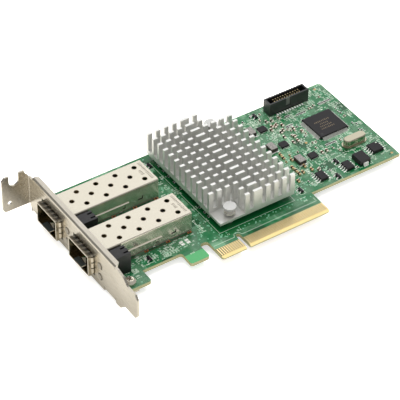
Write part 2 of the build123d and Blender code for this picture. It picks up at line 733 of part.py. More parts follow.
def heatsink():
    """Pin-fin heat sink: a base with cross-cut fins and two lowered corners for the push pins."""
    x1, y1 = sink_end()
    z1 = SINK_Z0 + SINK_BASE_T
    base = slab(SINK_X0, x1, SINK_Y0, y1, SINK_Z0, z1)
    cut_x = CORNER_COLUMNS * FIN_PITCH_X
    cut_y = CORNER_ROWS * FIN_PITCH_Y
    base -= slab(SINK_X0 - 1, SINK_X0 + cut_x, SINK_Y0 - 1, SINK_Y0 + cut_y, z1 - CORNER_DROP, z1 + 1)
    base -= slab(x1 - cut_x, x1 + 1, y1 - cut_y, y1 + 1, z1 - CORNER_DROP, z1 + 1)
    for x, y in push_pin_spots():
        base -= prism(x, y, SINK_Z0 - 1, z1 + 1, PUSH_HOLE_R)
    fins = Sketch() + [Pos(x, y) * Rectangle(length, FIN_Y) for x, y, length in fin_spots()]
    return base + extrude(Pos(0, 0, z1) * fins, amount=SINK_H - SINK_BASE_T)


def centred(size, z0, z1):
    """A square plate under the middle of the heat sink."""
    x1, y1 = sink_end()
    x = (SINK_X0 + x1) / 2
    y = (SINK_Y0 + y1) / 2
    return slab(x - size / 2, x + size / 2, y - size / 2, y + size / 2, z0, z1)


def push_pins():
    """Moulded push pins: a round cap and stem, and a barbed foot that snaps in under the board."""
    low = -BOARD_T
    under_cap = PUSH_CAP_TOP_Z - PUSH_CAP_T
    barb = PUSH_BARB_W / 2
    tip = PUSH_TIP_W / 2
    foot = [(-tip, low - PUSH_FOOT_H), (tip, low - PUSH_FOOT_H), (barb, low), (-barb, low)]
    pin = post(0, 0, under_cap, PUSH_CAP_TOP_Z, PUSH_CAP_R)
    pin += prism(0, 0, low, under_cap, PUSH_STEM_R)
    pin += plate_x(foot, -barb, barb) & plate_y(foot, -barb, barb)
    return group([Pos(x, y, 0) * pin for x, y in push_pin_spots()])


def push_springs():
    """Coil springs between the caps and the heat sink, each coil drawn with flat facets."""
    low = SINK_Z0 + SINK_BASE_T - CORNER_DROP + SPRING_WIRE
    high = PUSH_CAP_TOP_Z - PUSH_CAP_T - SPRING_WIRE
    steps = SPRING_TURNS * SPRING_FACETS
    points = []
    for i in range(steps + 1):
        turn = radians(360 * i / SPRING_FACETS)
        points.append((SPRING_R * cos(turn), SPRING_R * sin(turn), low + (high - low) * i / steps))
    path = Polyline(*points)
    wire = Plane(origin=path @ 0, z_dir=path % 0) * Rectangle(SPRING_WIRE, SPRING_WIRE)
    spring = sweep(wire, path=path, transition=Transition.RIGHT)
    return group([Pos(x, y, 0) * spring for x, y in push_pin_spots()])


def header_pin_spots():
    """Centre of every header pin, and which way its lead goes."""
    x0 = (HEADER_X0 + HEADER_X1) / 2 - (HEADER_PAIRS - 1) / 2 * HEADER_PITCH
    y = (HEADER_Y0 + HEADER_Y1) / 2
    pairs = [(i, side) for i in range(HEADER_PAIRS) for side in (-1, 1)]
    return [(x0 + i * HEADER_PITCH, y + side * HEADER_PITCH / 2, side) for i, side in pairs]


def header_shroud():
    """The open black box round the header pins, with a key slot, a ribbed back rim and two feet."""
    w = HEADER_WALL
    box = slab(HEADER_X0, HEADER_X1, HEADER_Y0, HEADER_Y1, HEADER_LIFT, HEADER_H)
    box -= slab(HEADER_X0 + w, HEADER_X1 - w, HEADER_Y0 + w, HEADER_Y1 - w, HEADER_FLOOR, HEADER_H + 1)
    key_x = (HEADER_X0 + HEADER_X1) / 2 - HEADER_KEY_SHIFT
    half = HEADER_KEY_W / 2
    box -= slab(key_x - half, key_x + half, HEADER_Y0 - 1, HEADER_Y0 + w + 0.1, HEADER_KEY_Z, HEADER_H + 1)
    for x0, x1 in ((HEADER_X0, HEADER_X0 + HEADER_FOOT), (HEADER_X1 - HEADER_FOOT, HEADER_X1)):
        box += slab(x0, x1, HEADER_Y0, HEADER_Y1, 0, HEADER_LIFT)
    for x, y, side in header_pin_spots():
        if side > 0:
            box -= slab(x - HEADER_RIB / 2, x + HEADER_RIB / 2, HEADER_Y1 - HEADER_RIB_D, HEADER_Y1 + 1,
                        HEADER_H - HEADER_RIB_H, HEADER_H + 1)
    return box


def header_pins():
    """Square pins that stand on the floor of the header, and the flat leads that come out below it."""
    half = HEADER_PIN / 2
    solids = []
    for x, y, side in header_pin_spots():
        solids.append(slab(x - half, x + half, y - half, y + half, HEADER_FLOOR, HEADER_PIN_TOP_Z))
        toe = (HEADER_Y1 if side > 0 else HEADER_Y0) + side * HEADER_LEAD_OUT
        y0, y1 = sorted((y, toe))
        solids.append(slab(x - half, x + half, y0, y1, 0, HEADER_LIFT))
    return group(solids)


def sloped_lead(out, top, width):
    """A fine lead drawn as one straight slope from the side of a chip to the board."""
    return plate_y([(0, top - LEAD_T), (out, 0), (out, LEAD_T), (0, top)], -width / 2, width / 2)


def gull_lead(out, top, width):
    """A lead that slopes down from the side of a chip at x = 0 and ends flat on the board."""
    t = LEAD_T
    knee = out * LEAD_KNEE
    corners = [(0, top - t), (knee - t / 2, 0), (out, 0), (out, t), (knee, t), (0, top)]
    return plate_y(corners, -width / 2, width / 2)


def waist_z(standoff, height):
    """Height of the widest line of a moulded body, where its leads come out."""
    return standoff + (height - standoff) * WAIST_SHARE


def lead_top(standoff, height):
    """Top of the leads where they leave the body."""
    return waist_z(standoff, height) + WAIST_BAND


def chip_body(x, y, w, l, standoff, height):
    """A moulded chip body with sloping sides above and below its waist."""
    low = Pos(x, y, standoff) * Rectangle(w - BODY_DRAFT, l - BODY_DRAFT)
    waist = waist_z(standoff, height)
    mid = Pos(x, y, waist) * Rectangle(w, l)
    mid_top = Pos(x, y, waist + WAIST_BAND) * Rectangle(w, l)
    top = Pos(x, y, height) * Rectangle(w - BODY_DRAFT, l - BODY_DRAFT)
    lower = loft([low, mid], ruled=True) + loft([mid, mid_top], ruled=True)
    return lower + loft([mid_top, top], ruled=True)


def quad_leads():
    """Fine leads on all four sides."""
    lead = sloped_lead(QUAD_LEAD_OUT, lead_top(QUAD_STANDOFF, QUAD_H), QUAD_LEAD_W)
    leads = []
    for turn in range(4):
        for i in range(QUAD_LEADS):
            shift = (i - (QUAD_LEADS - 1) / 2) * QUAD_PITCH
            side = Pos(QUAD_X, QUAD_Y, 0) * Rot(0, 0, 90 * turn)
            leads.append(side * Pos(QUAD_SIZE / 2, shift, 0) * lead)
    return group(leads)


def so_bodies():
    return group([chip_body(x, y, w, l, SO_STANDOFF, SO_H) for x, y, w, l in SO_CHIPS])


def so_leads():
    lead = gull_lead(SO_LEAD_OUT, lead_top(SO_STANDOFF, SO_H), SO_LEAD_W)
    leads = []
    for x, y, w, l in SO_CHIPS:
        for turn in (0, 180):
            for i in range(4):
                shift = (i - 1.5) * SO_PITCH
                leads.append(Pos(x, y, 0) * Rot(0, 0, turn) * Pos(w / 2, shift, 0) * lead)
    return group(leads)


def transistor_bodies():
    w = TRANSISTOR_W
    l = TRANSISTOR_L
    return group([chip_body(x, y, w, l, TRANSISTOR_STANDOFF, TRANSISTOR_H) for x, y in TRANSISTORS])


def transistor_leads():
    lead = sloped_lead(TRANSISTOR_LEAD_OUT, lead_top(TRANSISTOR_STANDOFF, TRANSISTOR_H), TRANSISTOR_LEAD_W)
    leads = []
    for x, y in TRANSISTORS:
        for turn, shift in ((0, 0), (180, -TRANSISTOR_PITCH), (180, TRANSISTOR_PITCH)):
            leads.append(Pos(x, y, 0) * Rot(0, 0, turn) * Pos(TRANSISTOR_W / 2, shift, 0) * lead)
    return group(leads)


def crystal_base():
    flange = extrude(SlotOverall(CRYSTAL_BASE_L, CRYSTAL_BASE_W), amount=CRYSTAL_BASE_T)
    return Pos(CRYSTAL_X, CRYSTAL_Y, 0) * flange


def crystal_can():
    can = extrude(SlotOverall(CRYSTAL_L, CRYSTAL_W), amount=CRYSTAL_H - CRYSTAL_BASE_T)
    can = chamfer(can.edges().group_by(Axis.Z)[-1], CRYSTAL_RIM)
    return Pos(CRYSTAL_X, CRYSTAL_Y, CRYSTAL_BASE_T) * can


def block_body():
    return chip_body(BLOCK_X, BLOCK_Y, BLOCK_W, BLOCK_L, BLOCK_STANDOFF, BLOCK_H)


def block_terminals():
    """Flat terminals that come out at the waist of the block and fold down to the board."""
    half = BLOCK_TERMINAL_W / 2
    out = BLOCK_TERMINAL_OUT
    top = lead_top(BLOCK_STANDOFF, BLOCK_H)
    pair = []
    for side in (-1, 1):
        edge = BLOCK_Y + side * BLOCK_L / 2
        y0, y1 = sorted((edge, edge + side * out))
        pair.append(slab(BLOCK_X - half, BLOCK_X + half, y0, y1, 0, top))
    return group(pair)


def inductor_bodies():
    """Pressed ferrite blocks with broken upper edges."""
    half_w = INDUCTOR_W / 2
    half_l = INDUCTOR_L / 2
    bodies = []
    for x, y in INDUCTORS:
        body = slab(x - half_w, x + half_w, y - half_l, y + half_l, INDUCTOR_FOOT_T, INDUCTOR_H)
        bodies.append(chamfer(body.edges().group_by(Axis.Z)[-1], INDUCTOR_EDGE))
    return group(bodies)


def inductor_feet():
    """A flat plated foot under each end of an inductor."""
    half_w = INDUCTOR_W / 2 - INDUCTOR_FOOT_INSET
    feet = []
    for x, y in INDUCTORS:
        for side in (-1, 1):
            edge = y + side * INDUCTOR_L / 2
            y0, y1 = sorted((edge, edge - side * INDUCTOR_FOOT_W))
            feet.append(slab(x - half_w, x + half_w, y0, y1, 0, INDUCTOR_FOOT_T))
    return group(feet)


def power_chips():
    w = POWER_CHIP_W / 2
    l = POWER_CHIP_L / 2
    return group([slab(x - w, x + w, y - l, y + l, 0, POWER_CHIP_H) for x, y in POWER_CHIPS])


def chip_capacitors():
    """Small two-ended ceramic blocks, standing on the board."""
    blocks = []
    for spots, (w, l, h) in ((LARGE_CAPS, LARGE_CAP), (SMALL_CAPS, SMALL_CAP)):
        blocks += [slab(x - w / 2, x + w / 2, y - l / 2, y + l / 2, 0, h) for x, y in spots]
    return group(blocks)


def pieces():
    """Every named piece of the card."""
    controller_top = CONTROLLER_BASE_T + CONTROLLER_CAP_T
    made = {
        "circuit_board": circuit_board(),
        "contacts_component_side": edge_contacts(0, CONTACT_T),
        "contacts_solder_side": edge_contacts(-BOARD_T - CONTACT_T, -BOARD_T),
        "bracket": bracket(),
        "bracket_screws": bracket_screws(),
        "heatsink": heatsink(),
        "thermal_pad": centred(CONTROLLER_CAP_SIZE, controller_top, SINK_Z0),
        "controller_base": centred(CONTROLLER_SIZE, 0, CONTROLLER_BASE_T),
        "controller_cap": centred(CONTROLLER_CAP_SIZE, CONTROLLER_BASE_T, controller_top),
        "push_pins": push_pins(),
        "push_springs": push_springs(),
        "header_shroud": header_shroud(),
        "header_pins": header_pins(),
        "quad_chip_body": chip_body(QUAD_X, QUAD_Y, QUAD_SIZE, QUAD_SIZE, QUAD_STANDOFF, QUAD_H),
        "quad_chip_leads": quad_leads(),
        "crystal_base": crystal_base(),
        "crystal_can": crystal_can(),
        "eight_lead_bodies": so_bodies(),
        "eight_lead_leads": so_leads(),
        "transistor_bodies": transistor_bodies(),
        "transistor_leads": transistor_leads(),
        "block_body": block_body(),
        "block_terminals": block_terminals(),
        "power_chips": power_chips(),
        "inductor_bodies": inductor_bodies(),
        "inductor_feet": inductor_feet(),
        "capacitors": chip_capacitors(),
    }
    for name, y in zip(("near", "far"), CAGE_YS):
        made["cage_" + name] = sfp_cage(y)
        made["collar_" + name] = emi_collar(y)
        made["socket_" + name] = sfp_socket(y)
        made["light_block_" + name] = led_housing(y)
        made["light_lenses_" + name] = led_lenses(y)
    return made


os.makedirs("parts", exist_ok=True)
for node, shape in pieces().items():
    export_step(shape, "parts/" + node + ".step")
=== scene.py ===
"""Looks of a low-profile dual-port network card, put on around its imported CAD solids.

Small sizes are in millimetres and are turned into metres by MM where a mesh is made.
"""

import math
import random

import bpy
from mathutils import Matrix, Vector


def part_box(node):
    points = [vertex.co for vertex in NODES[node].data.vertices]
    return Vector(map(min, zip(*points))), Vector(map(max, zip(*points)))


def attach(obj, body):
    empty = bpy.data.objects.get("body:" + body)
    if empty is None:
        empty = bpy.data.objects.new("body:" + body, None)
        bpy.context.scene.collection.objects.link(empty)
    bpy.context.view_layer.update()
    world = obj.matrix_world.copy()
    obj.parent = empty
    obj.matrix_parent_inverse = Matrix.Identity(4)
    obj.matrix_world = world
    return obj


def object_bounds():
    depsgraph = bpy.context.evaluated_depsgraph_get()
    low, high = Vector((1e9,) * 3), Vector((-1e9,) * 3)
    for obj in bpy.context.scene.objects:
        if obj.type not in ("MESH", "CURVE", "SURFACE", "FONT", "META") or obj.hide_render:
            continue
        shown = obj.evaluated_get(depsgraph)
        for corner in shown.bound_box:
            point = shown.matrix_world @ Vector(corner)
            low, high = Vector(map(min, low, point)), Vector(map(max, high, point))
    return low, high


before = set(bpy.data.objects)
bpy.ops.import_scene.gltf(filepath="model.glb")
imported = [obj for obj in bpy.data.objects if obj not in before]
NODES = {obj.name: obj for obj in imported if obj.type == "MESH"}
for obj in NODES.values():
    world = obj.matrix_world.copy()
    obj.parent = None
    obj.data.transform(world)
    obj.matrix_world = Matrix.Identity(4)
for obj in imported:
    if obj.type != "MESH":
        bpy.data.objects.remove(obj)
cad_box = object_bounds()

# The card's board: glass fibre laminate, pressed flat, routed to its outline and coated with a
# glossy green solder mask over its copper. The mask is left off round the edge contacts, and the
# routed edges show the raw straw-coloured laminate.
MM = 0.001
MASK_OVER_COPPER = "145a33"
MASK_OVER_RESIN = "0c4122"
MASK_OVER_TRACK = "5c8a68"
MASK_OVER_POUR = "0a5026"
STUB_GREEN = "3f8f56"
LAMINATE_STRAW = "b0b087"
LAMINATE_SHADE = "a19d72"
GAP_RESIN_SHADED = "5c4a22"
BEVEL_TAN = "d9c385"
MASK_ROUGHNESS = 0.13
RAW_ROUGHNESS = 0.6
RESIN_IOR = 1.52
POUR_MM = 14.0
TRACK_PITCH_MM = 0.42  # about a pixel of the photograph: a finer pitch wouldn't show
TRACK_LINE = (0.2, 0.3)
AREA_SCALE = 0.11
TRACKED_AREA = (0.42, 0.55)
POUR_EDGE = (0.47, 0.49)
TRACK_STRENGTH = 0.9
CONTACT_FIELD_Y = 5.7
STUB_X = (-24.8, -15.6)
STUB_Y = 9.0
SINK_POUR_X = (-6.0, 24.0)
SINK_POUR_Y = 10.0
FLAT_FACE = 0.97
UPRIGHT_FACE = 0.3


def rgb(hex_code):
    """sRGB hex as the linear colour that Blender takes."""
    parts = [int(hex_code[i:i + 2], 16) / 255 for i in (0, 2, 4)]
    return [c / 12.92 if c <= 0.04045 else ((c + 0.055) / 1.055) ** 2.4 for c in parts] + [1.0]


def result(node):
    """The socket that carries a node's result."""
    return node.outputs[2] if node.bl_idname == "ShaderNodeMix" else node.outputs[0]


def add(tree, kind, links=None, **settings):
    """Adds a node with its settings; links maps a socket to a value, a socket or a node.

    Sockets 1 to 4 of a Map Range node are from low, from high, to low and to high, and sockets 6
    and 7 of a Mix node are its two colours.
    """
    node = tree.nodes.new(kind)
    for name, value in settings.items():
        setattr(node, name, value)
    for key, value in (links or {}).items():
        if isinstance(value, bpy.types.Node):
            value = result(value)
        if isinstance(value, bpy.types.NodeSocket):
            tree.links.new(value, node.inputs[key])
        else:
            node.inputs[key].default_value = value
    return node


def finish_of(name, colour, roughness, metallic=0.0, ior=None, **sockets):
    """A new material: returns it, its tree, its shader and the object coordinates in mm."""
    material = bpy.data.materials.new(name)
    material.use_nodes = True
    tree = material.node_tree
    tree.nodes.clear()
    values = {"Base Color": rgb(colour), "Roughness": roughness, "Metallic": metallic}
    if ior:
        values["IOR"] = ior
    for key, value in sockets.items():
        values[key.replace("_", " ")] = value
    shader = add(tree, "ShaderNodeBsdfPrincipled", values)
    add(tree, "ShaderNodeOutputMaterial", {"Surface": shader})
    place = add(tree, "ShaderNodeTexCoord").outputs["Object"]
    place = add(tree, "ShaderNodeVectorMath", {0: place, 1: (1 / MM,) * 3}, operation="MULTIPLY")
    return material, tree, shader, place


def drive(shader, **links):
    """Links patterns to a material's shader; an underscore stands for the blank in a socket's name."""
    for name, node in links.items():
        shader.id_data.links.new(result(node), shader.inputs[name.replace("_", " ")])


def dress(material, *names):
    """Gives a material to CAD nodes whose shape is right as it is."""
    for name in names:
        NODES[name].data.materials.clear()
        NODES[name].data.materials.append(material)


board_mask, tree, shader, place = finish_of(
    "solder_mask_on_glass_laminate", MASK_OVER_COPPER, MASK_ROUGHNESS, ior=RESIN_IOR)
flat = add(tree, "ShaderNodeVectorMath", {0: place, 1: (1, 1, 0)}, operation="MULTIPLY")
pour = add(tree, "ShaderNodeTexVoronoi", {"Vector": flat, "Scale": 1 / POUR_MM}, distance="CHEBYCHEV")
contour = add(tree, "ShaderNodeMath", {0: pour.outputs["Distance"], 1: POUR_MM / TRACK_PITCH_MM},
              operation="MULTIPLY")
contour = add(tree, "ShaderNodeMath", {0: contour, 1: 0.5}, operation="PINGPONG")
area = add(tree, "ShaderNodeTexNoise", {
    "Vector": flat, "Scale": AREA_SCALE, "Detail": 3.0, "Roughness": 0.6})
track_line = add(tree, "ShaderNodeMapRange", {0: contour, 1: TRACK_LINE[0], 2: TRACK_LINE[1]})
track_area = add(tree, "ShaderNodeMapRange", {
    0: area, 1: TRACKED_AREA[0], 2: TRACKED_AREA[1], 4: TRACK_STRENGTH})
track = add(tree, "ShaderNodeMath", {0: track_line, 1: track_area}, operation="MULTIPLY")
poured = add(tree, "ShaderNodeMapRange", {0: area, 1: POUR_EDGE[0], 2: POUR_EDGE[1]})
green = add(tree, "ShaderNodeMix", {0: poured, 6: rgb(MASK_OVER_COPPER), 7: rgb(MASK_OVER_RESIN)},
            data_type="RGBA")
green = add(tree, "ShaderNodeMix", {0: track, 6: green, 7: rgb(MASK_OVER_TRACK)}, data_type="RGBA")
axes = add(tree, "ShaderNodeSeparateXYZ", {0: place})
x_axis, y_axis = axes.outputs["X"], axes.outputs["Y"]
past_start = add(tree, "ShaderNodeMath", {0: x_axis, 1: STUB_X[0]}, operation="GREATER_THAN")
before_end = add(tree, "ShaderNodeMath", {0: x_axis, 1: STUB_X[1]}, operation="LESS_THAN")
below_top = add(tree, "ShaderNodeMath", {0: y_axis, 1: STUB_Y}, operation="LESS_THAN")
stub = add(tree, "ShaderNodeMath", {0: past_start, 1: before_end}, operation="MULTIPLY")
stub = add(tree, "ShaderNodeMath", {0: stub, 1: below_top}, operation="MULTIPLY")
green = add(tree, "ShaderNodeMix", {0: stub, 6: green, 7: rgb(STUB_GREEN)}, data_type="RGBA")
right_of = add(tree, "ShaderNodeMath", {0: x_axis, 1: SINK_POUR_X[0]}, operation="GREATER_THAN")
left_of = add(tree, "ShaderNodeMath", {0: x_axis, 1: SINK_POUR_X[1]}, operation="LESS_THAN")
above = add(tree, "ShaderNodeMath", {0: y_axis, 1: SINK_POUR_Y}, operation="GREATER_THAN")
sink_pour = add(tree, "ShaderNodeMath", {0: right_of, 1: left_of}, operation="MULTIPLY")
sink_pour = add(tree, "ShaderNodeMath", {0: sink_pour, 1: above}, operation="MULTIPLY")
green = add(tree, "ShaderNodeMix", {0: sink_pour, 6: green, 7: rgb(MASK_OVER_POUR)}, data_type="RGBA")
# The bare field round the edge contacts takes the same dark resin colour, partly painted shade.
field = add(tree, "ShaderNodeMath", {0: y_axis, 1: CONTACT_FIELD_Y}, operation="LESS_THAN")
past_stub = add(tree, "ShaderNodeMath", {0: x_axis, 1: STUB_X[1]}, operation="GREATER_THAN")
field = add(tree, "ShaderNodeMath", {0: field, 1: past_stub}, operation="MULTIPLY")
bare = add(tree, "ShaderNodeMix", {0: field, 6: green, 7: rgb(GAP_RESIN_SHADED)}, data_type="RGBA")
facing = add(tree, "ShaderNodeSeparateXYZ", {0: add(tree, "ShaderNodeNewGeometry").outputs["True Normal"]})
level = add(tree, "ShaderNodeMath", {0: facing.outputs["Z"]}, operation="ABSOLUTE")
edge = add(tree, "ShaderNodeMath", {0: level, 1: FLAT_FACE}, operation="LESS_THAN")
sloped = add(tree, "ShaderNodeMath", {0: level, 1: UPRIGHT_FACE}, operation="GREATER_THAN")
weave = add(tree, "ShaderNodeTexNoise", {"Vector": place, "Scale": 3.0, "Detail": 2.0})
straw = add(tree, "ShaderNodeMix", {0: weave, 6: rgb(LAMINATE_STRAW), 7: rgb(LAMINATE_SHADE)},
            data_type="RGBA")
straw = add(tree, "ShaderNodeMix", {0: sloped, 6: straw, 7: rgb(BEVEL_TAN)}, data_type="RGBA")
skin = add(tree, "ShaderNodeMix", {0: edge, 6: bare, 7: straw}, data_type="RGBA")
raw = add(tree, "ShaderNodeMath", {0: field, 1: edge}, operation="MAXIMUM")
gloss = add(tree, "ShaderNodeMapRange", {0: raw, 3: MASK_ROUGHNESS, 4: RAW_ROUGHNESS})
relief = add(tree, "ShaderNodeBump", {"Height": track, "Distance": 0.00001, "Strength": 0.25})
drive(shader, Base_Color=skin, Roughness=gloss, Normal=relief)
dress(board_mask, "circuit_board")

# White legend ink on the board: lines round the heat sink, along the edge contacts and round the
# parts, and short generic ticks beside them. It is screen printed, a few hundredths thick, and
# worn a little grey in places.
INK_WHITE = "c3cebd"
INK_WORN = "a3b8a3"
INK_W = 0.16
INK_T = 0.02
SINK_FRAME = (-5.4, 12.55, 30.8, 16.4)
SINK_FRAME_END_Y = 60.0
FINGER_LINE_Y = 7.6
FINGER_LINE_X = (-11.6, 37.9)
FINGER_LINE_RISE = 2.0
KEY_BUMP = (1.9, 9.3)
OUTLINE_GAP = 0.6
CORNER_MARK = 1.2
EDGE_CLEAR = 0.7
PART_FOOT_BELOW = 1.0
TICK_PITCH = 0.34
TICK_TALL = 0.85
TICK_SHORTEST = 0.4
TICK_CHANCE = 0.85
TICKS_ABOVE = 0.75
TICKS_BESIDE = 0.55
TICK_ROW_STEP = 1.1
UPRIGHT_CHANCE = 0.6
TICK_ROWS = (
    (-10.5, 10.3, 8), (-3.2, 10.2, 5), (1.6, 10.2, 5), (-21.5, 9.0, 6), (-41.0, 13.0, 10),
    (-54.0, 13.2, 8), (-11.5, 17.0, 9), (-11.3, 19.0, 6), (-53.5, 9.0, 4), (33.6, 9.9, 6),
    (33.2, 12.0, 8), (32.8, 19.6, 7),
)
BIG_PITCH = 0.85
BIG_W = 0.28
BIG_LENGTHS = (1.0, 1.0, 0.55)
BIG_STEMS = (0.1, 0.9)
BIG_ROWS = ((-12.6, 44.0, 9, 2.0), (-10.6, 24.6, 9, 1.3))
TICK_FIELDS = (
    (34.5, 24.0, 60.0, 52.0, 90), (58.0, 24.0, 82.0, 36.0, 50), (44.0, 48.0, 61.0, 61.0, 46),
    (60.0, 52.5, 82.0, 67.5, 70), (33.5, 14.0, 82.0, 24.0, 46), (78.5, 36.5, 82.5, 56.0, 16),
    (-55.0, 8.0, -45.0, 18.5, 26), (-42.0, 12.4, -14.0, 18.8, 44), (-12.5, 20.0, -6.5, 66.0, 22),
    (34.0, 52.0, 46.0, 67.0, 24),
)


def boxes_of(*names):
    """The box round each loose solid of the CAD nodes: two corners, in mm."""
    found = []
    for name in names:
        mesh = NODES[name].data
        parent = []
        seen = {}
        for i, vertex in enumerate(mesh.vertices):
            parent.append(seen.setdefault(tuple(round(c, 7) for c in vertex.co), i))

        def top(i):
            while parent[i] != i:
                parent[i] = parent[parent[i]]
                i = parent[i]
            return i

        for edge in mesh.edges:
            parent[top(edge.vertices[0])] = top(edge.vertices[1])
        solids = {}
        for i, vertex in enumerate(mesh.vertices):
            solids.setdefault(top(i), []).append([c / MM for c in vertex.co])
        for points in solids.values():
            found.append(([min(p[a] for p in points) for a in range(3)],
                          [max(p[a] for p in points) for a in range(3)]))
    return sorted(found)


def repeated(name, spots, finish, sides=0):
    """Stands a box, or a disc with that many sides, on each spot: x, y, z, three sizes, turn."""
    mesh = bpy.data.meshes.new(name)
    mesh.from_pydata([[c * MM for c in spot[:3]] for spot in spots], [], [])
    extent = mesh.attributes.new("extent", "FLOAT_VECTOR", "POINT")
    extent.data.foreach_set("vector", [c * MM for spot in spots for c in spot[3:6]])
    turn = mesh.attributes.new("turn", "FLOAT", "POINT")
    turn.data.foreach_set("value", [spot[6] if len(spot) > 6 else 0.0 for spot in spots])
    piece = bpy.data.objects.new(name, mesh)
    bpy.context.collection.objects.link(piece)
    tree = bpy.data.node_groups.new(name + "_repeat", "GeometryNodeTree")
    for label, kind, way in (("Spots", "Geometry", "INPUT"), ("Sides", "Int", "INPUT"),
                             ("Finish", "Material", "INPUT"), ("Geometry", "Geometry", "OUTPUT")):
        tree.interface.new_socket(label, in_out=way, socket_type="NodeSocket" + kind)
    start = add(tree, "NodeGroupInput")
    size = add(tree, "GeometryNodeInputNamedAttribute", {"Name": "extent"}, data_type="FLOAT_VECTOR")
    angle = add(tree, "GeometryNodeInputNamedAttribute", {"Name": "turn"}, data_type="FLOAT")
    spin = add(tree, "ShaderNodeCombineXYZ", {"Z": angle})
    if sides:
        form = add(tree, "GeometryNodeMeshCylinder",
                   {"Vertices": start.outputs["Sides"], "Radius": 0.5, "Depth": 1.0})
    else:
        form = add(tree, "GeometryNodeMeshCube", {"Size": (1, 1, 1)})
    stand = add(tree, "GeometryNodeInstanceOnPoints", {
        "Points": start.outputs["Spots"], "Instance": form, "Scale": size, "Rotation": spin})
    solid = add(tree, "GeometryNodeRealizeInstances", {"Geometry": stand})
    painted = add(tree, "GeometryNodeSetMaterial", {"Geometry": solid, "Material": start.outputs["Finish"]})
    add(tree, "NodeGroupOutput", {"Geometry": painted})
    grow = piece.modifiers.new("repeat", "NODES")
    grow.node_group = tree
    socket = {item.name: item.identifier for item in tree.interface.items_tree if item.in_out == "INPUT"}
    grow[socket["Sides"]] = max(sides, 3)
    grow[socket["Finish"]] = finish
    made = bpy.data.meshes.new_from_object(piece.evaluated_get(bpy.context.evaluated_depsgraph_get()))
    piece.modifiers.clear()
    piece.data = made
    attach(piece, "root")


def strokes(points):
    """Flat bars of ink along a line of points."""
    bars = []
    for (x0, y0), (x1, y1) in zip(points, points[1:]):
        length = math.hypot(x1 - x0, y1 - y0) + INK_W
        turn = math.atan2(y1 - y0, x1 - x0)
        bars.append(((x0 + x1) / 2, (y0 + y1) / 2, INK_T / 2, length, INK_W, INK_T, turn))
    return bars


board_high = boxes_of("circuit_board")[0][1]
carried = [name for name in NODES if name not in ("circuit_board", "bracket", "heatsink")]
on_board = [box for box in boxes_of(*carried) if box[0][2] < PART_FOOT_BELOW]


def is_free(x, y, margin=0.2):
    """True where the board is under the spot and no part stands on it within the margin."""
    if x > board_high[0] - EDGE_CLEAR or y > board_high[1] - EDGE_CLEAR:
        return False
    return all(x < low[0] - margin or x > high[0] + margin or y < low[1] - margin or y > high[1] + margin
               for low, high in on_board)


def ticks(x, y, count, rng, upright=True):
    """A row of short ticks of uneven height, as small print looks from afar, kept off the parts."""
    bars = []
    for i in range(count):
        tall = TICK_TALL * rng.uniform(TICK_SHORTEST, 1.0)
        cx = x + i * TICK_PITCH * upright
        cy = y + i * TICK_PITCH * (not upright)
        if rng.random() < TICK_CHANCE and is_free(cx, cy):
            wide, deep = (INK_W, tall) if upright else (tall, INK_W)
            bars.append((cx, cy, INK_T / 2, wide, deep, INK_T))
    return bars


ink, tree, shader, place = finish_of("white_legend_ink", INK_WHITE, 0.55)
wear = add(tree, "ShaderNodeTexNoise", {"Vector": place, "Scale": 1.5, "Detail": 2.0})
thin = add(tree, "ShaderNodeMix", {0: wear, 6: rgb(INK_WHITE), 7: rgb(INK_WORN)}, data_type="RGBA")
drive(shader, Base_Color=thin)
rng = random.Random(11)
x0, y0, x1, y1 = SINK_FRAME
key_x, key_y = KEY_BUMP
line_start, line_end = FINGER_LINE_X
lines = strokes([(x0, SINK_FRAME_END_Y), (x0, y0), (x1, y0), (x1, y1)])
lines += strokes([(line_start, FINGER_LINE_Y), (-key_x, FINGER_LINE_Y), (-key_x / 2, key_y),
                  (key_x / 2, key_y), (key_x, FINGER_LINE_Y), (line_end, FINGER_LINE_Y),
                  (line_end, FINGER_LINE_Y + FINGER_LINE_RISE)])
for low, high in boxes_of("quad_chip_body", "eight_lead_bodies", "block_body", "power_chips",
                          "inductor_bodies", "transistor_bodies", "crystal_base", "header_shroud"):
    xa, xb = low[0] - OUTLINE_GAP, high[0] + OUTLINE_GAP
    ya, yb = low[1] - OUTLINE_GAP, high[1] + OUTLINE_GAP
    for x, sx in ((xa, 1), (xb, -1)):
        for y, sy in ((ya, 1), (yb, -1)):
            if is_free(x, y, 0.0):
                lines += strokes([(x + sx * CORNER_MARK, y), (x, y), (x, y + sy * CORNER_MARK)])
    lines += ticks(xa, yb + TICKS_ABOVE, rng.randint(3, 6), rng)
for low, high in boxes_of("capacitors"):
    x = (low[0] + high[0]) / 2 + rng.choice((-1, 1)) * ((high[0] - low[0]) / 2 + TICKS_BESIDE)
    lines += ticks(x, low[1], rng.randint(3, 4), rng, upright=False)
for x, y, count, tall in BIG_ROWS:
    for i in range(count):
        bar = y - i * BIG_PITCH
        long = tall * rng.choice(BIG_LENGTHS)
        lines.append((x + long / 2, bar, INK_T / 2, long, BIG_W, INK_T))
        if i % 2:
            stem = x + tall * rng.choice(BIG_STEMS)
            lines.append((stem, bar + BIG_PITCH / 2, INK_T / 2, BIG_W, BIG_PITCH, INK_T))
for x, y, count in TICK_ROWS:
    lines += ticks(x, y, count, rng)
for xa, ya, xb, yb, count in TICK_FIELDS:
    for _ in range(count):
        x = rng.uniform(xa, xb)
        y = rng.uniform(ya, yb)
        upright = rng.random() < UPRIGHT_CHANCE
        for row in range(rng.randint(1, 3)):
            step = TICK_ROW_STEP * row
            lines += ticks(x + step * (not upright), y + step * upright, rng.randint(3, 7), rng, upright)
repeated("legend_ink", lines, ink)

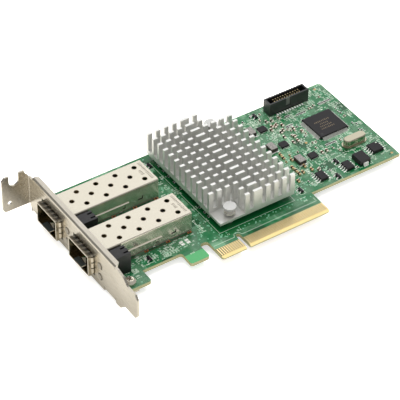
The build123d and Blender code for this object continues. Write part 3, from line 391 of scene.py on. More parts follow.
# Plated via holes: drilled, copper plated and covered by the mask, so each shows as a pale ring
# with a darker middle. They stand in loose fields between the parts, on both faces of the board.
VIA_FIELDS = (
    (33.5, 14.0, 82.5, 67.5, 420), (-56.0, 5.8, -43.6, 20.0, 14), (-41.0, 12.5, -14.0, 19.0, 40),
    (-12.8, 12.5, -6.0, 67.5, 70), (-11.0, 9.6, 38.0, 12.0, 40), (-55.0, 59.6, -14.0, 67.8, 40),
    (-44.0, 36.0, -14.0, 42.0, 24),
)
VIA_GRID = 0.5
VIA_CLEAR = 0.45
VIA_RING_W = 0.62
VIA_HOLE_W = 0.3
VIA_T = 0.01
BOARD_T = -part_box("circuit_board")[0][2] / MM
rng = random.Random(5)
vias = set()
for xa, ya, xb, yb, count in VIA_FIELDS:
    for _ in range(count):
        x = round(rng.uniform(xa, xb) / VIA_GRID) * VIA_GRID
        y = round(rng.uniform(ya, yb) / VIA_GRID) * VIA_GRID
        if is_free(x, y, VIA_CLEAR):
            vias.add((x, y))
ring_mask, tree, shader, place = finish_of("mask_over_plated_ring", "6fae8b", 0.3, ior=RESIN_IOR)
tint = add(tree, "ShaderNodeTexNoise", {"Vector": place, "Scale": 0.8})
shade = add(tree, "ShaderNodeMix", {0: tint, 6: rgb("5aa37c"), 7: rgb("8cc3a4")}, data_type="RGBA")
drive(shader, Base_Color=shade)
hole_mask = finish_of("mask_filled_hole", "0c3a22", 0.4, ior=RESIN_IOR)[0]
for name, width, thick, coat in (("via_rings", VIA_RING_W, VIA_T, ring_mask),
                                 ("via_holes", VIA_HOLE_W, 2 * VIA_T, hole_mask)):
    spots = [(x, y, z + way * thick / 2, width, width, thick)
             for x, y in sorted(vias) for z, way in ((0.0, 1), (-BOARD_T, -1))]
    repeated(name, spots, coat, sides=8)

# Edge contacts: copper pads with a hard gold plating, flat and bright, a little worn across by the
# slot they are pushed into.
NOISE_SPAN = {1: 0.3, 2: 0.7}  # the part of a noise that a roughness is spread over
hard_gold, tree, shader, place = finish_of("hard_gold_plating", "fae6b0", 0.24, metallic=1.0)
rub = add(tree, "ShaderNodeVectorMath", {0: place, 1: (6.0, 0.5, 1.0)}, operation="MULTIPLY")
rub = add(tree, "ShaderNodeTexNoise", {"Vector": rub, "Scale": 1.0, "Detail": 3.0})
drive(shader, Roughness=add(tree, "ShaderNodeMapRange", {0: rub, **NOISE_SPAN, 3: 0.18, 4: 0.34}))
dress(hard_gold, "contacts_component_side", "contacts_solder_side")

# The etched gaps between the contacts, on both faces of the board: bare matt resin, given a dark
# colour that is partly painted shade between the steep plated walls. They are laid as thin strips,
# wider than the gaps of 0.3 mm, to help them show.
GAP_W = 0.42
GAP_Y = (1.45, 5.55)
GAP_T = 0.056
gaps = []
for name in ("contacts_component_side", "contacts_solder_side"):
    way = 1 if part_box(name)[1][2] > 0 else -1
    face = 0.0 if way > 0 else -BOARD_T
    row = boxes_of(name)
    for (low, high), (after, _) in zip(row, row[1:]):
        if after[0] - high[0] < GAP_W:
            gaps.append(((high[0] + after[0]) / 2, sum(GAP_Y) / 2, face + way * GAP_T / 2,
                         GAP_W, GAP_Y[1] - GAP_Y[0], GAP_T))
repeated("contact_gaps", gaps, finish_of("etched_gap_resin_painted_shade", GAP_RESIN_SHADED, 0.7)[0])

# Bare copper, etched with the board and left free of mask: rings round the press-fit pins of the
# cages, dark strips along the feet of the cage walls, which are painted shadow of the gap under each
# wall, and the round aiming marks for the assembly machine, which have a dulled gold plating.
FIDUCIALS = ((79.7, 66.3), (81.6, 14.95), (55.8, 39.4))
FIDUCIAL_W = 1.15
PIN_XS = (-15.0, -25.0, -35.0)
PIN_OFF_MIDDLE = 6.975
PIN_RING_W = 2.0
PIN_BORE_W = 1.06
BORE_RISE = 0.005
COPPER_T = 0.03
FOOT_STRIP_X0 = -43.5
FOOT_STRIP_W = 0.35


def whole_box(name):
    """The box of a whole CAD node: its two corners, in mm, and the middle of its width."""
    low, high = [[c / MM for c in corner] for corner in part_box(name)]
    return low, high, (low[1] + high[1]) / 2


def discs(spots, width, rise=0.0):
    """Flat round marks of copper on the board."""
    return [(x, y, COPPER_T / 2 + rise, width, width, COPPER_T) for x, y in spots]


cages = [whole_box("cage_near"), whole_box("cage_far")]
copper, tree, shader, place = finish_of("bare_copper", "d08b4c", 0.35, metallic=0.6)
tarnish_and_shade = add(tree, "ShaderNodeTexNoise", {"Vector": place, "Scale": 1.2, "Detail": 2.0})
tone = add(tree, "ShaderNodeMix", {0: tarnish_and_shade, 6: rgb("eda35c"), 7: rgb("cc733a")}, data_type="RGBA")
drive(shader, Base_Color=tone)
pin_spots = [(x, middle + side * PIN_OFF_MIDDLE)
             for _, _, middle in cages for x in PIN_XS for side in (-1, 1)]
repeated("pin_rings", discs(pin_spots, PIN_RING_W), copper, sides=16)
dull_gold = finish_of("dulled_gold_mark", "b08f60", 0.45, metallic=0.6)[0]
repeated("aiming_marks", discs(FIDUCIALS, FIDUCIAL_W), dull_gold, sides=16)
# Painted shadow: dark strips along the feet of the cage walls.
foot_shadow_strips = [((FOOT_STRIP_X0 + high[0]) / 2, y, COPPER_T / 2,
                high[0] - FOOT_STRIP_X0, FOOT_STRIP_W, COPPER_T)
               for low, high, _ in cages for y in (low[1] - FOOT_STRIP_W / 2, high[1] + FOOT_STRIP_W / 2)]
repeated("cage_foot_shadow_strips", foot_shadow_strips, finish_of("painted_cage_foot_shadow", "3a2a1c", 0.5)[0])
# The bores are flat dark discs: painted shade for the inside of each plated hole round its pin.
shadow_hole = finish_of("painted_shade_in_plated_hole", "1a0d06", 0.6)[0]
repeated("pin_bores", discs(pin_spots, PIN_BORE_W, BORE_RISE), shadow_hole, sides=12)

# Solder and tinned leads: every lead stands on a pad that the oven has wetted with bright solder,
# the small parts have plated end caps, and pins that go through have a collar of solder below.
PAD_T = 0.03
PAD_MARGIN = 0.02
PAD_REACH = 0.3
CAP_PLATE = 0.02
CAP_SHARE = 0.17
HEADER_MIDDLE_Y = 64.0
HEADER_LEAD_BELOW = 1.0
BEAD = (0.6, 0.75, 0.36)
BEAD_UNDER_TOE = 0.05
POWER_PADS = 5
POWER_PAD_PITCH = 0.6
POWER_PAD = (0.36, 0.28, 0.2)
INDUCTOR_PAD_L = 0.7
INDUCTOR_PAD_MORE = 0.3
INDUCTOR_PAD_OUT = 0.1
PIN_COLLAR = (1.5, 1.5, 0.3)
TEST_PAD = (1.5, 1.1)
TEST_PADS = ((-21.0, 16.6), (-21.0, 15.2), (-18.5, 16.6), (-18.5, 15.2))
tin, tree, shader, place = finish_of("tinned_solder", "efefea", 0.3, metallic=0.45)
grain = add(tree, "ShaderNodeTexNoise", {"Vector": place, "Scale": 4.0, "Detail": 2.0})
drive(shader, Roughness=add(tree, "ShaderNodeMapRange", {0: grain, **NOISE_SPAN, 3: 0.2, 4: 0.4}))
dress(tin, "eight_lead_leads", "transistor_leads", "block_terminals", "inductor_feet")


def toe_pads(leads, bodies):
    """A pad under the outer half of each lead; the lead points away from the body beside it."""
    pads = []
    for low, high in boxes_of(leads):
        x, y = (low[0] + high[0]) / 2, (low[1] + high[1]) / 2
        body = min(boxes_of(bodies), key=lambda b: abs((b[0][0] + b[1][0]) / 2 - x)
                   + abs((b[0][1] + b[1][1]) / 2 - y))
        w, l = high[0] - low[0], high[1] - low[1]
        if x < body[0][0] or x > body[1][0]:
            way = 1 if x > body[1][0] else -1
            spot, size = (x + way * (w / 4 + PAD_REACH / 2), y), (w / 2 + PAD_REACH, l + 2 * PAD_MARGIN)
        else:
            way = 1 if y > body[1][1] else -1
            spot, size = (x, y + way * (l / 4 + PAD_REACH / 2)), (w + 2 * PAD_MARGIN, l / 2 + PAD_REACH)
        pads.append((*spot, PAD_T / 2, *size, PAD_T))
    return pads


def end_caps(low, high):
    """Plated caps on both ends of a small part."""
    x, z = (low[0] + high[0]) / 2, (low[2] + high[2]) / 2
    w, l, h = [high[a] - low[a] for a in range(3)]
    long = CAP_SHARE * l
    return [(x, edge + way * (long / 2 - CAP_PLATE / 2), z + CAP_PLATE / 2,
             w + 2 * CAP_PLATE, long + CAP_PLATE, h + CAP_PLATE)
            for edge, way in ((low[1], 1), (high[1], -1))]


matt_tin = finish_of("matt_tin_plating", "c0c0ba", 0.42, metallic=0.4)[0]
dress(matt_tin, "quad_chip_leads")
repeated("quad_chip_pads", toe_pads("quad_chip_leads", "quad_chip_body"), matt_tin)
pads = toe_pads("eight_lead_leads", "eight_lead_bodies")
pads += toe_pads("transistor_leads", "transistor_bodies") + toe_pads("block_terminals", "block_body")
beads = []
for low, high in boxes_of("header_pins"):
    if high[2] < HEADER_LEAD_BELOW:
        x, y = (low[0] + high[0]) / 2, (low[1] + high[1]) / 2
        toe, way = (high[1], 1) if y > HEADER_MIDDLE_Y else (low[1], -1)
        beads.append((x, toe - way * BEAD_UNDER_TOE, BEAD[2] / 2, *BEAD))
for low, high in boxes_of("power_chips"):
    x, y = (low[0] + high[0]) / 2, (low[1] + high[1]) / 2
    out, wide, tall = POWER_PAD
    for i in range(POWER_PADS):
        shift = (i - (POWER_PADS - 1) / 2) * POWER_PAD_PITCH
        for way in (-1, 1):
            pads.append((x + way * (high[0] - low[0]) / 2, y + shift, tall / 2, out, wide, tall))
            pads.append((x + shift, y + way * (high[1] - low[1]) / 2, tall / 2, wide, out, tall))
for low, high in boxes_of("inductor_bodies"):
    x, w = (low[0] + high[0]) / 2, high[0] - low[0] + INDUCTOR_PAD_MORE
    pads += [(x, y, PAD_T / 2, w, INDUCTOR_PAD_L, PAD_T)
             for y in (low[1] - INDUCTOR_PAD_OUT, high[1] + INDUCTOR_PAD_OUT)]
pads += [(x, y, -BOARD_T - PIN_COLLAR[2] / 2, *PIN_COLLAR) for x, y in pin_spots]
pads += [(x, y, PAD_T / 2, *TEST_PAD, PAD_T) for x, y in TEST_PADS]
repeated("solder_pads", pads, tin)
fresh_solder = finish_of("fresh_solder_bead", "f6f6f2", 0.35, metallic=0.1)[0]
repeated("header_solder", beads, fresh_solder)

# Chip resistors and the smallest chip capacitors: rows and single ones of fired ceramic with a
# dark glazed top and plated ends, all 1.0 x 0.5 mm, and near black to dark brown.
RESISTOR_ROWS = ((61.6, 33.4, 7), (75.0, 57.1, 8), (63.2, 56.2, 6), (58.4, 57.6, 3), (55.0, 52.0, 4))
RESISTOR_PITCH = 0.8
LOOSE_PARTS = (
    (79.2, 48.6), (79.6, 47.4), (79.5, 51.0), (79.5, 39.3), (80.8, 37.9), (80.1, 33.4), (79.4, 34.4),
    (57.8, 43.0), (55.1, 51.1), (56.7, 50.7), (58.6, 49.8), (40.0, 22.0), (42.2, 18.6), (46.2, 21.7),
    (53.7, 19.7), (45.8, 65.6), (41.2, 64.4), (54.0, 46.2), (-3.6, 60.0), (-3.6, 56.4), (-3.6, 52.4),
    (-3.6, 48.2), (-3.6, 43.4), (-3.6, 29.7), (-3.6, 26.1), (-3.6, 23.2),
)
LOOSE_CLEAR = 0.1
CHIP_PART = (0.5, 1.0, 0.35)
REEL_CELL = (0.6, 0.6, 0.6)


def small_parts(spots, size):
    """Small parts that stand on the board: their bodies and their end caps."""
    w, l, h = size
    caps = []
    for x, y in spots:
        caps += end_caps((x - w / 2, y - l / 2, 0.0), (x + w / 2, y + l / 2, h))
    return [(x, y, h / 2, w, l, h) for x, y in spots], caps


spots = [(x + i * RESISTOR_PITCH, y) for x, y, count in RESISTOR_ROWS for i in range(count)]
spots += [(x, y) for x, y in LOOSE_PARTS if is_free(x, y, LOOSE_CLEAR)]
glaze, tree, shader, place = finish_of("glazed_ceramic_chip", "1c1b1d", 0.3)
reel = add(tree, "ShaderNodeVectorMath", {0: place, 1: REEL_CELL}, operation="SNAP")
reel = add(tree, "ShaderNodeTexWhiteNoise", {"Vector": reel}).outputs["Value"]
tone = add(tree, "ShaderNodeMix", {0: reel, 6: rgb("121113"), 7: rgb("2f231a")}, data_type="RGBA")
drive(shader, Base_Color=tone)
bodies, caps = small_parts(spots, CHIP_PART)
repeated("chip_resistors", bodies, glaze)
repeated("chip_resistor_ends", caps, tin)

# Multilayer ceramic capacitors: fired barium titanate, brown to black from batch to batch, with
# plated ends that are tan where the oven has tinted them beside the heat sink. The spare
# ones, of the larger of its two sizes, stand between those of the CAD node.
SPARE_SIZE = (0.85, 1.6, 0.8)
SPARE_CLEAR = 0.5
SPARE_CAPACITORS = (
    (41.4, 39.8), (42.1, 33.3), (45.5, 35.4), (50.8, 54.7), (54.1, 49.8), (56.6, 49.5), (53.9, 45.0),
    (56.9, 34.1), (49.8, 22.2), (44.2, 33.4), (50.9, 50.2), (52.4, 50.9), (54.0, 53.9), (48.3, 53.6),
    (38.7, 21.0), (36.9, 23.6), (43.6, 24.6), (47.6, 24.2), (58.6, 46.2), (50.1, 46.9),
)
BATCH_CELL = (2.6, 2.6, 9.0)
TINTED_X = 48.0
TINTED_Y = 41.0
ceramic, tree, shader, place = finish_of("fired_ceramic", "6b4f33", 0.5, Specular_IOR_Level=0.3)
batch = add(tree, "ShaderNodeVectorMath", {0: place, 1: BATCH_CELL}, operation="SNAP")
batch = add(tree, "ShaderNodeTexWhiteNoise", {"Vector": batch}).outputs["Value"]
tone = add(tree, "ShaderNodeMix", {0: batch, 6: rgb("1a120b"), 7: rgb("543c27")}, data_type="RGBA")
drive(shader, Base_Color=tone)
dress(ceramic, "capacitors")
end_metal, tree, shader, place = finish_of("plated_part_end", "f1eadb", 0.4, metallic=0.25)
axes = add(tree, "ShaderNodeSeparateXYZ", {0: place}).outputs
near_x = add(tree, "ShaderNodeMath", {0: axes["X"], 1: TINTED_X}, operation="LESS_THAN")
near_y = add(tree, "ShaderNodeMath", {0: axes["Y"], 1: TINTED_Y}, operation="LESS_THAN")
tinted = add(tree, "ShaderNodeMath", {0: near_x, 1: near_y}, operation="MULTIPLY")
tone = add(tree, "ShaderNodeMix", {0: tinted, 6: rgb("f1eadb"), 7: rgb("dcc294")}, data_type="RGBA")
drive(shader, Base_Color=tone)
spots = [spot for spot in SPARE_CAPACITORS if is_free(*spot, SPARE_CLEAR)]
bodies, caps = small_parts(spots, SPARE_SIZE)
repeated("spare_capacitors", bodies, ceramic)
for low, high in boxes_of("capacitors"):
    caps += end_caps(low, high)
repeated("capacitor_ends", caps, end_metal)

# Moulded chips: black epoxy with a fine matt spark-eroded grain, a moulded dimple or a white dot at
# pin one. The square chip, the eight-lead chips, the transistors and the power stages share it.
DIMPLE_INSET = 1.6
DIMPLE_W = 1.1
DIMPLE_SINK = 0.005
DOT_INSET = 0.9
DOT_W = 0.7
DOT_T = 0.02
epoxy, tree, shader, place = finish_of("black_moulded_epoxy", "141315", 0.4, Specular_IOR_Level=0.28)
grain = add(tree, "ShaderNodeTexNoise", {"Vector": place, "Scale": 12.0, "Detail": 2.0})
tone = add(tree, "ShaderNodeMix", {0: grain, 6: rgb("0f0e10"), 7: rgb("1b191c")}, data_type="RGBA")
spark = add(tree, "ShaderNodeBump", {"Height": grain, "Distance": 0.00001, "Strength": 0.3})
drive(shader, Base_Color=tone, Normal=spark)
dress(epoxy, "quad_chip_body", "eight_lead_bodies", "transistor_bodies", "block_body", "power_chips",
      "controller_cap")
quad_low, quad_high = boxes_of("quad_chip_body")[0]
dimple = (quad_low[0] + DIMPLE_INSET, quad_low[1] + DIMPLE_INSET, quad_high[2] - DIMPLE_SINK,
          DIMPLE_W, DIMPLE_W, DOT_T)
repeated("chip_dimples", [dimple], finish_of("moulded_dimple", "0b0a0b", 0.25)[0], sides=16)
low, high = max(boxes_of("eight_lead_bodies"))
dot = (high[0] - DOT_INSET, high[1] - DOT_INSET, high[2], DOT_W, DOT_W, DOT_T)
repeated("pin_one_dots", [dot], ink, sides=12)

# Faint marks on the square chip: rows of short brown ticks that say nothing, burnt into
# the epoxy by a laser.
MARK_T = 0.012
CHIP_MARK_TALL = 0.9
CHIP_MARK_SHORTEST = 0.6
CHIP_MARK_W = 0.3
CHIP_MARK_PITCH = 0.85
CHIP_MARK_ROWS = ((1.9, 9), (0.2, 5), (-1.3, 7), (-2.8, 8))
chip_x, chip_y = (quad_low[0] + quad_high[0]) / 2, (quad_low[1] + quad_high[1]) / 2
rng = random.Random(8)
burnt = []
for row, count in CHIP_MARK_ROWS:
    for i in range(count):
        tall = CHIP_MARK_TALL * rng.uniform(CHIP_MARK_SHORTEST, 1.0)
        x = chip_x + (i - count / 2) * CHIP_MARK_PITCH
        burnt.append((x, chip_y + row, quad_high[2] + MARK_T / 2, CHIP_MARK_W, tall, MARK_T))
repeated("chip_marks", burnt, finish_of("faint_laser_mark", "6d5f4a", 0.5)[0])

# The controller under the heat sink: a green laminate carrier soldered to the board, and a grey
# silicone pad pressed between its lid and the sink.
dress(finish_of("chip_carrier_laminate", "1d4a2c", 0.4, ior=RESIN_IOR)[0], "controller_base")
dress(finish_of("grey_silicone_pad", "8a94a0", 0.7)[0], "thermal_pad")

# Power inductors: iron powder pressed round a coil, in a grey lacquer, rough and
# speckled on top, darker down the sides.
TOP_FACE = 0.5
ferrite, tree, shader, place = finish_of("pressed_iron_powder", "8f8885", 0.55)
speckle = add(tree, "ShaderNodeTexNoise", {"Vector": place, "Scale": 2.6, "Detail": 4.0})
spread = add(tree, "ShaderNodeMapRange", {0: speckle, 1: 0.4, 2: 0.6})
tone = add(tree, "ShaderNodeMix", {0: spread, 6: rgb("66635f"), 7: rgb("8c8984")}, data_type="RGBA")
facing = add(tree, "ShaderNodeSeparateXYZ", {0: add(tree, "ShaderNodeNewGeometry").outputs["True Normal"]})
side = add(tree, "ShaderNodeMath", {0: facing.outputs["Z"], 1: TOP_FACE}, operation="LESS_THAN")
tone = add(tree, "ShaderNodeMix", {0: side, 6: tone, 7: rgb("332d2a")}, data_type="RGBA")
drive(shader, Base_Color=tone)
dress(ferrite, "inductor_bodies")

# Crystal: a drawn nickel-silver can, resistance welded to its flange and polished like a spoon,
# so that it mirrors the room in soft waves.
can_metal, tree, shader, place = finish_of("drawn_nickel_silver", "bcb6a1", 0.1, metallic=0.95)
wave = add(tree, "ShaderNodeTexNoise", {"Vector": place, "Scale": 0.5, "Detail": 1.0})
drive(shader, Normal=add(tree, "ShaderNodeBump", {"Height": wave, "Distance": 0.0001, "Strength": 0.15}))
dress(can_metal, "crystal_can", "crystal_base")

# Shrouded header: black glass-filled nylon, moulded with a soft sheen, with a pale grey web in the
# key slot, and square pins of brass with a thin dull gold plating, tinned where they are soldered.
# The connectors inside the cages are of the same nylon.
KEY_WEB = (2.2, 0.3, 4.0)
KEY_SHIFT = -0.5
WEB_BEHIND = 0.3
WEB_BELOW = 0.1
TINNED_BELOW = 0.5
LIT_TOP_FACE = 0.8
black_nylon, tree, shader, place = finish_of(
    "black_glass_filled_nylon", "151617", 0.36, Specular_IOR_Level=0.8)
flow = add(tree, "ShaderNodeTexNoise", {"Vector": place, "Scale": 1.4, "Detail": 4.0})
drive(shader, Roughness=add(tree, "ShaderNodeMapRange", {0: flow, **NOISE_SPAN, 3: 0.3, 4: 0.48}))
dress(black_nylon, "header_shroud", "socket_near", "socket_far")
low, high = boxes_of("header_shroud")[0]
web = ((low[0] + high[0]) / 2 + KEY_SHIFT, low[1] + WEB_BEHIND + KEY_WEB[1] / 2,
       high[2] - KEY_WEB[2] / 2 - WEB_BELOW, *KEY_WEB)
repeated("header_key_web", [web], finish_of("pale_grey_nylon_web", "666963", 0.5)[0])
pin_metal, tree, shader, place = finish_of("flash_gold_on_brass", "6e5a38", 0.34, metallic=1.0)
axes = add(tree, "ShaderNodeSeparateXYZ", {0: place}).outputs
foot = add(tree, "ShaderNodeMath", {0: axes["Z"], 1: TINNED_BELOW}, operation="LESS_THAN")
tone = add(tree, "ShaderNodeMix", {0: foot, 6: rgb("6e5a38"), 7: rgb("dededa")}, data_type="RGBA")
# The upward faces of the pins are painted a pale tan: a painted highlight on their tops.
facing = add(tree, "ShaderNodeSeparateXYZ", {0: add(tree, "ShaderNodeNewGeometry").outputs["True Normal"]})
lit_top = add(tree, "ShaderNodeMath", {0: facing.outputs["Z"], 1: LIT_TOP_FACE}, operation="GREATER_THAN")
tone = add(tree, "ShaderNodeMix", {0: lit_top, 6: tone, 7: rgb("c9b990")}, data_type="RGBA")
drive(shader, Base_Color=tone)
dress(pin_metal, "header_pins")

# Contact strips of the card-edge connectors at the back of the cages: sprung, gold flashed, ten
# above and ten below the slot.
STRIP_PITCH = 0.8
STRIP_COUNT = 10
STRIP = (4.7, 0.4, 0.25)
STRIP_BEHIND = 0.8
STRIP_RISE = 0.675
SLOT_Z = 3.2
springs = []
for name in ("socket_near", "socket_far"):
    low, high = boxes_of(name)[0]
    middle = (low[1] + high[1]) / 2
    for i in range(STRIP_COUNT):
        y = middle + (i - (STRIP_COUNT - 1) / 2) * STRIP_PITCH
        springs += [(low[0] + STRIP_BEHIND + STRIP[0] / 2, y, SLOT_Z + way * STRIP_RISE, *STRIP)
                    for way in (-1, 1)]
repeated("socket_contacts", springs, hard_gold)

# Light-guide blocks beside the cages: black moulded plastic with a soft sheen, and frosted acrylic
# rods that reach through the bracket.
black_abs, tree, shader, place = finish_of("black_moulded_plastic", "171618", 0.4)
flow = add(tree, "ShaderNodeTexNoise", {"Vector": place, "Scale": 0.6, "Detail": 3.0})
drive(shader, Roughness=add(tree, "ShaderNodeMapRange", {0: flow, **NOISE_SPAN, 3: 0.34, 4: 0.48}))
dress(black_abs, "light_block_near", "light_block_far")
dress(finish_of("frosted_acrylic_rod", "8f887a", 0.3, ior=1.49)[0], "light_lenses_near", "light_lenses_far")

# Bracket: cold-rolled steel, blanked, folded and nickel plated, with a faint rolling grain and a
# slow unevenness in the plating.
nickel, tree, shader, place = finish_of("nickel_plated_steel", "c6bca9", 0.3, metallic=1.0)
slow = add(tree, "ShaderNodeTexNoise", {"Vector": place, "Scale": 0.08, "Detail": 3.0})
tone = add(tree, "ShaderNodeMix", {0: slow, 6: rgb("cfc9bd"), 7: rgb("b9b2a4")}, data_type="RGBA")
roll = add(tree, "ShaderNodeVectorMath", {0: place, 1: (1.0, 0.06, 6.0)}, operation="MULTIPLY")
roll = add(tree, "ShaderNodeTexNoise", {"Vector": roll, "Scale": 2.0, "Detail": 4.0})
satin = add(tree, "ShaderNodeMapRange", {0: roll, **NOISE_SPAN, 3: 0.22, 4: 0.34})
scuff = add(tree, "ShaderNodeBump", {"Height": roll, "Distance": 0.00001, "Strength": 0.1})
drive(shader, Base_Color=tone, Roughness=satin, Normal=scuff)
dress(nickel, "bracket")

# Bracket screws: nickel plated steel, cold headed with a cross recess and tumbled bright. Both heads
# are on the component side, and their recess is drawn on top as a brown cross of painted shade.
CROSS = (1.9, 0.45, 0.02)
CROSS_TURN = 0.6
bright_nickel, tree, shader, place = finish_of("bright_nickel_screw", "efe8d6", 0.14, metallic=0.9)
dent = add(tree, "ShaderNodeTexNoise", {"Vector": place, "Scale": 1.6, "Detail": 2.0})
drive(shader, Normal=add(tree, "ShaderNodeBump", {"Height": dent, "Distance": 0.0002, "Strength": 0.5}))
dress(bright_nickel, "bracket_screws")
crosses = []
for low, high in boxes_of("bracket_screws"):
    spot = ((low[0] + high[0]) / 2, (low[1] + high[1]) / 2, high[2])
    crosses += [(*spot, *CROSS, CROSS_TURN + quarter * math.pi / 2) for quarter in (0, 1)]
repeated("screw_crosses", crosses, finish_of("painted_shade_cross_recess", "4a3b28", 0.5)[0])

# Port cages: thin tin-nickel plated brass sheet, blanked with its vents, folded into a box and
# pressed into the board. Smooth enough to mirror the board along its sides, milky along the bent
# ledges, and a shade warmer inside.
CAGE_HALF_W = 7.125
INNER_HALF_W = 6.95
INNER_TOP_Z = 9.6
RIB_TOP_Z = 6.0
RIB_SLOPE = (0.75, 0.2)
RIB_MILKY = 0.6
CAGE_SHEEN = 0.8
cage_metal, tree, shader, place = finish_of("tin_nickel_plated_sheet", "cfc9ba", 0.19, metallic=CAGE_SHEEN)
stretch = add(tree, "ShaderNodeVectorMath", {0: place, 1: (0.1, 2.0, 2.0)}, operation="MULTIPLY")
rolled = add(tree, "ShaderNodeTexNoise", {"Vector": stretch, "Scale": 1.0, "Detail": 3.0})
satin = add(tree, "ShaderNodeMapRange", {0: rolled, **NOISE_SPAN, 3: 0.14, 4: 0.24})
buckle = add(tree, "ShaderNodeTexNoise", {"Vector": place, "Scale": 0.07, "Detail": 1.0})
buckled = add(tree, "ShaderNodeBump", {"Height": buckle, "Distance": 0.0004, "Strength": 0.1})
axes = add(tree, "ShaderNodeSeparateXYZ", {0: place}).outputs
offsets = []
for _, _, middle in cages:
    shift = add(tree, "ShaderNodeMath", {0: axes["Y"], 1: middle}, operation="SUBTRACT")
    offsets.append(add(tree, "ShaderNodeMath", {0: shift}, operation="ABSOLUTE"))
nearest = add(tree, "ShaderNodeMath", {0: offsets[0], 1: offsets[1]}, operation="MINIMUM")
within = add(tree, "ShaderNodeMath", {0: nearest, 1: INNER_HALF_W}, operation="LESS_THAN")
below = add(tree, "ShaderNodeMath", {0: axes["Z"], 1: INNER_TOP_Z}, operation="LESS_THAN")
inside = add(tree, "ShaderNodeMath", {0: within, 1: below}, operation="MULTIPLY")
facing = add(tree, "ShaderNodeSeparateXYZ", {0: add(tree, "ShaderNodeNewGeometry").outputs["True Normal"]})
slope = add(tree, "ShaderNodeMath", {0: facing.outputs["Z"], 1: RIB_SLOPE[0], 2: RIB_SLOPE[1]},
            operation="COMPARE")
low_down = add(tree, "ShaderNodeMath", {0: axes["Z"], 1: RIB_TOP_Z}, operation="LESS_THAN")
ridge = add(tree, "ShaderNodeMath", {0: low_down, 1: slope}, operation="MULTIPLY")
tone = add(tree, "ShaderNodeMix", {0: inside, 6: rgb("cfc9ba"), 7: rgb("cfc4ac")}, data_type="RGBA")
plain = add(tree, "ShaderNodeMapRange", {0: inside, 3: CAGE_SHEEN, 4: 1.0})
milky = add(tree, "ShaderNodeMath", {0: ridge, 1: RIB_MILKY}, operation="MULTIPLY")
metal = add(tree, "ShaderNodeMath", {0: plain, 1: milky}, operation="SUBTRACT")
drive(shader, Base_Color=tone, Metallic=metal, Roughness=satin, Normal=buckled)
dress(cage_metal, "cage_near", "cage_far")

# Rims of the vents: a thin dark ring round each hole of the cage tops, painted shade at the edge of
# the hole that makes it look wider.
RIM_OUTER_R = 1.12
RIM_INNER_R = 0.97
RIM_SIDES = 20
RIM_LIFT = 0.012
VENT_COUNT = 4
VENT_FIRST_X = -18.3
VENT_PITCH_X = 8.98
VENT_ROW_Y = 4.0


def plain_piece(name, points, faces, finish):
    """An object of its own with this mesh, given in mm."""
    mesh = bpy.data.meshes.new(name)
    mesh.from_pydata([[c * MM for c in point] for point in points], [], faces)
    mesh.materials.append(finish)
    piece = bpy.data.objects.new(name, mesh)
    bpy.context.collection.objects.link(piece)
    return piece


section = ((RIM_OUTER_R, 0.0), (RIM_OUTER_R, RIM_LIFT), (RIM_INNER_R, RIM_LIFT), (RIM_INNER_R, 0.0))
points, faces = [], []
for low, high, middle in cages:
    for i in range(VENT_COUNT):
        x = VENT_FIRST_X - i * VENT_PITCH_X
        for vx, vy in ((x, middle + VENT_ROW_Y), (x, middle - VENT_ROW_Y), (x - VENT_PITCH_X / 2, middle)):
            first = len(points)
            for k in range(RIM_SIDES):
                turn = 2 * math.pi * k / RIM_SIDES
                points += [(vx + r * math.cos(turn), vy + r * math.sin(turn), high[2] + z)
                           for r, z in section]
            for k in range(RIM_SIDES):
                a, b = first + 4 * k, first + 4 * ((k + 1) % RIM_SIDES)
                faces += [(a + j, b + j, b + (j + 1) % 4, a + (j + 1) % 4) for j in range(4)]
rims = plain_piece("vent_rims", points, faces, finish_of("painted_shade_vent_rim", "5d4f38", 0.5)[0])
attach(rims, "root")

# Sheared lances in the cage sides that hold the port connectors, drawn as flat dark marks of painted
# shade where the sheet is open, and the bright soldered pegs at their feet.
LANCES = ((-22.4, 3.4, 2.0, 0.6), (-21.4, 4.0, 0.4, 1.5), (-30.2, 2.0, 1.1, 0.35), (-29.6, 2.5, 0.3, 1.1))
PEG = (-31.5, 0.6, 0.9, 0.5)
LANCE_T = 0.05
walls = [middle + side * (CAGE_HALF_W + LANCE_T / 2) for _, _, middle in cages for side in (-1, 1)]
for name, marks, finish in (
        ("cage_side_lances", LANCES, finish_of("painted_shade_in_lance", "17140e", 0.5)[0]),
        ("cage_side_pegs", (PEG,), tin)):
    spots = [(x, y, z, long, LANCE_T, tall) for y in walls for x, z, long, tall in marks]
    repeated(name, spots, finish)

# Marks on the cage tops: rows of short grey ticks that say nothing, burnt in by a laser near the
# back end.
MARK_ROWS = ((-15.3, 5.4, 14), (-17.4, 1.2, 4))
MARK_TALL = 1.5
MARK_SHORTEST = 0.5
MARK_W = 0.32
MARK_PITCH = 0.8
rng = random.Random(3)
burnt = []
for low, high, middle in cages:
    for x, back_off, count in MARK_ROWS:
        for i in range(count):
            tall = MARK_TALL * rng.uniform(MARK_SHORTEST, 1.0)
            burnt.append((x, middle + back_off - i * MARK_PITCH, high[2] + MARK_T / 2, tall, MARK_W, MARK_T))
repeated("cage_marks", burnt, finish_of("laser_burnt_mark", "625b4c", 0.5)[0])

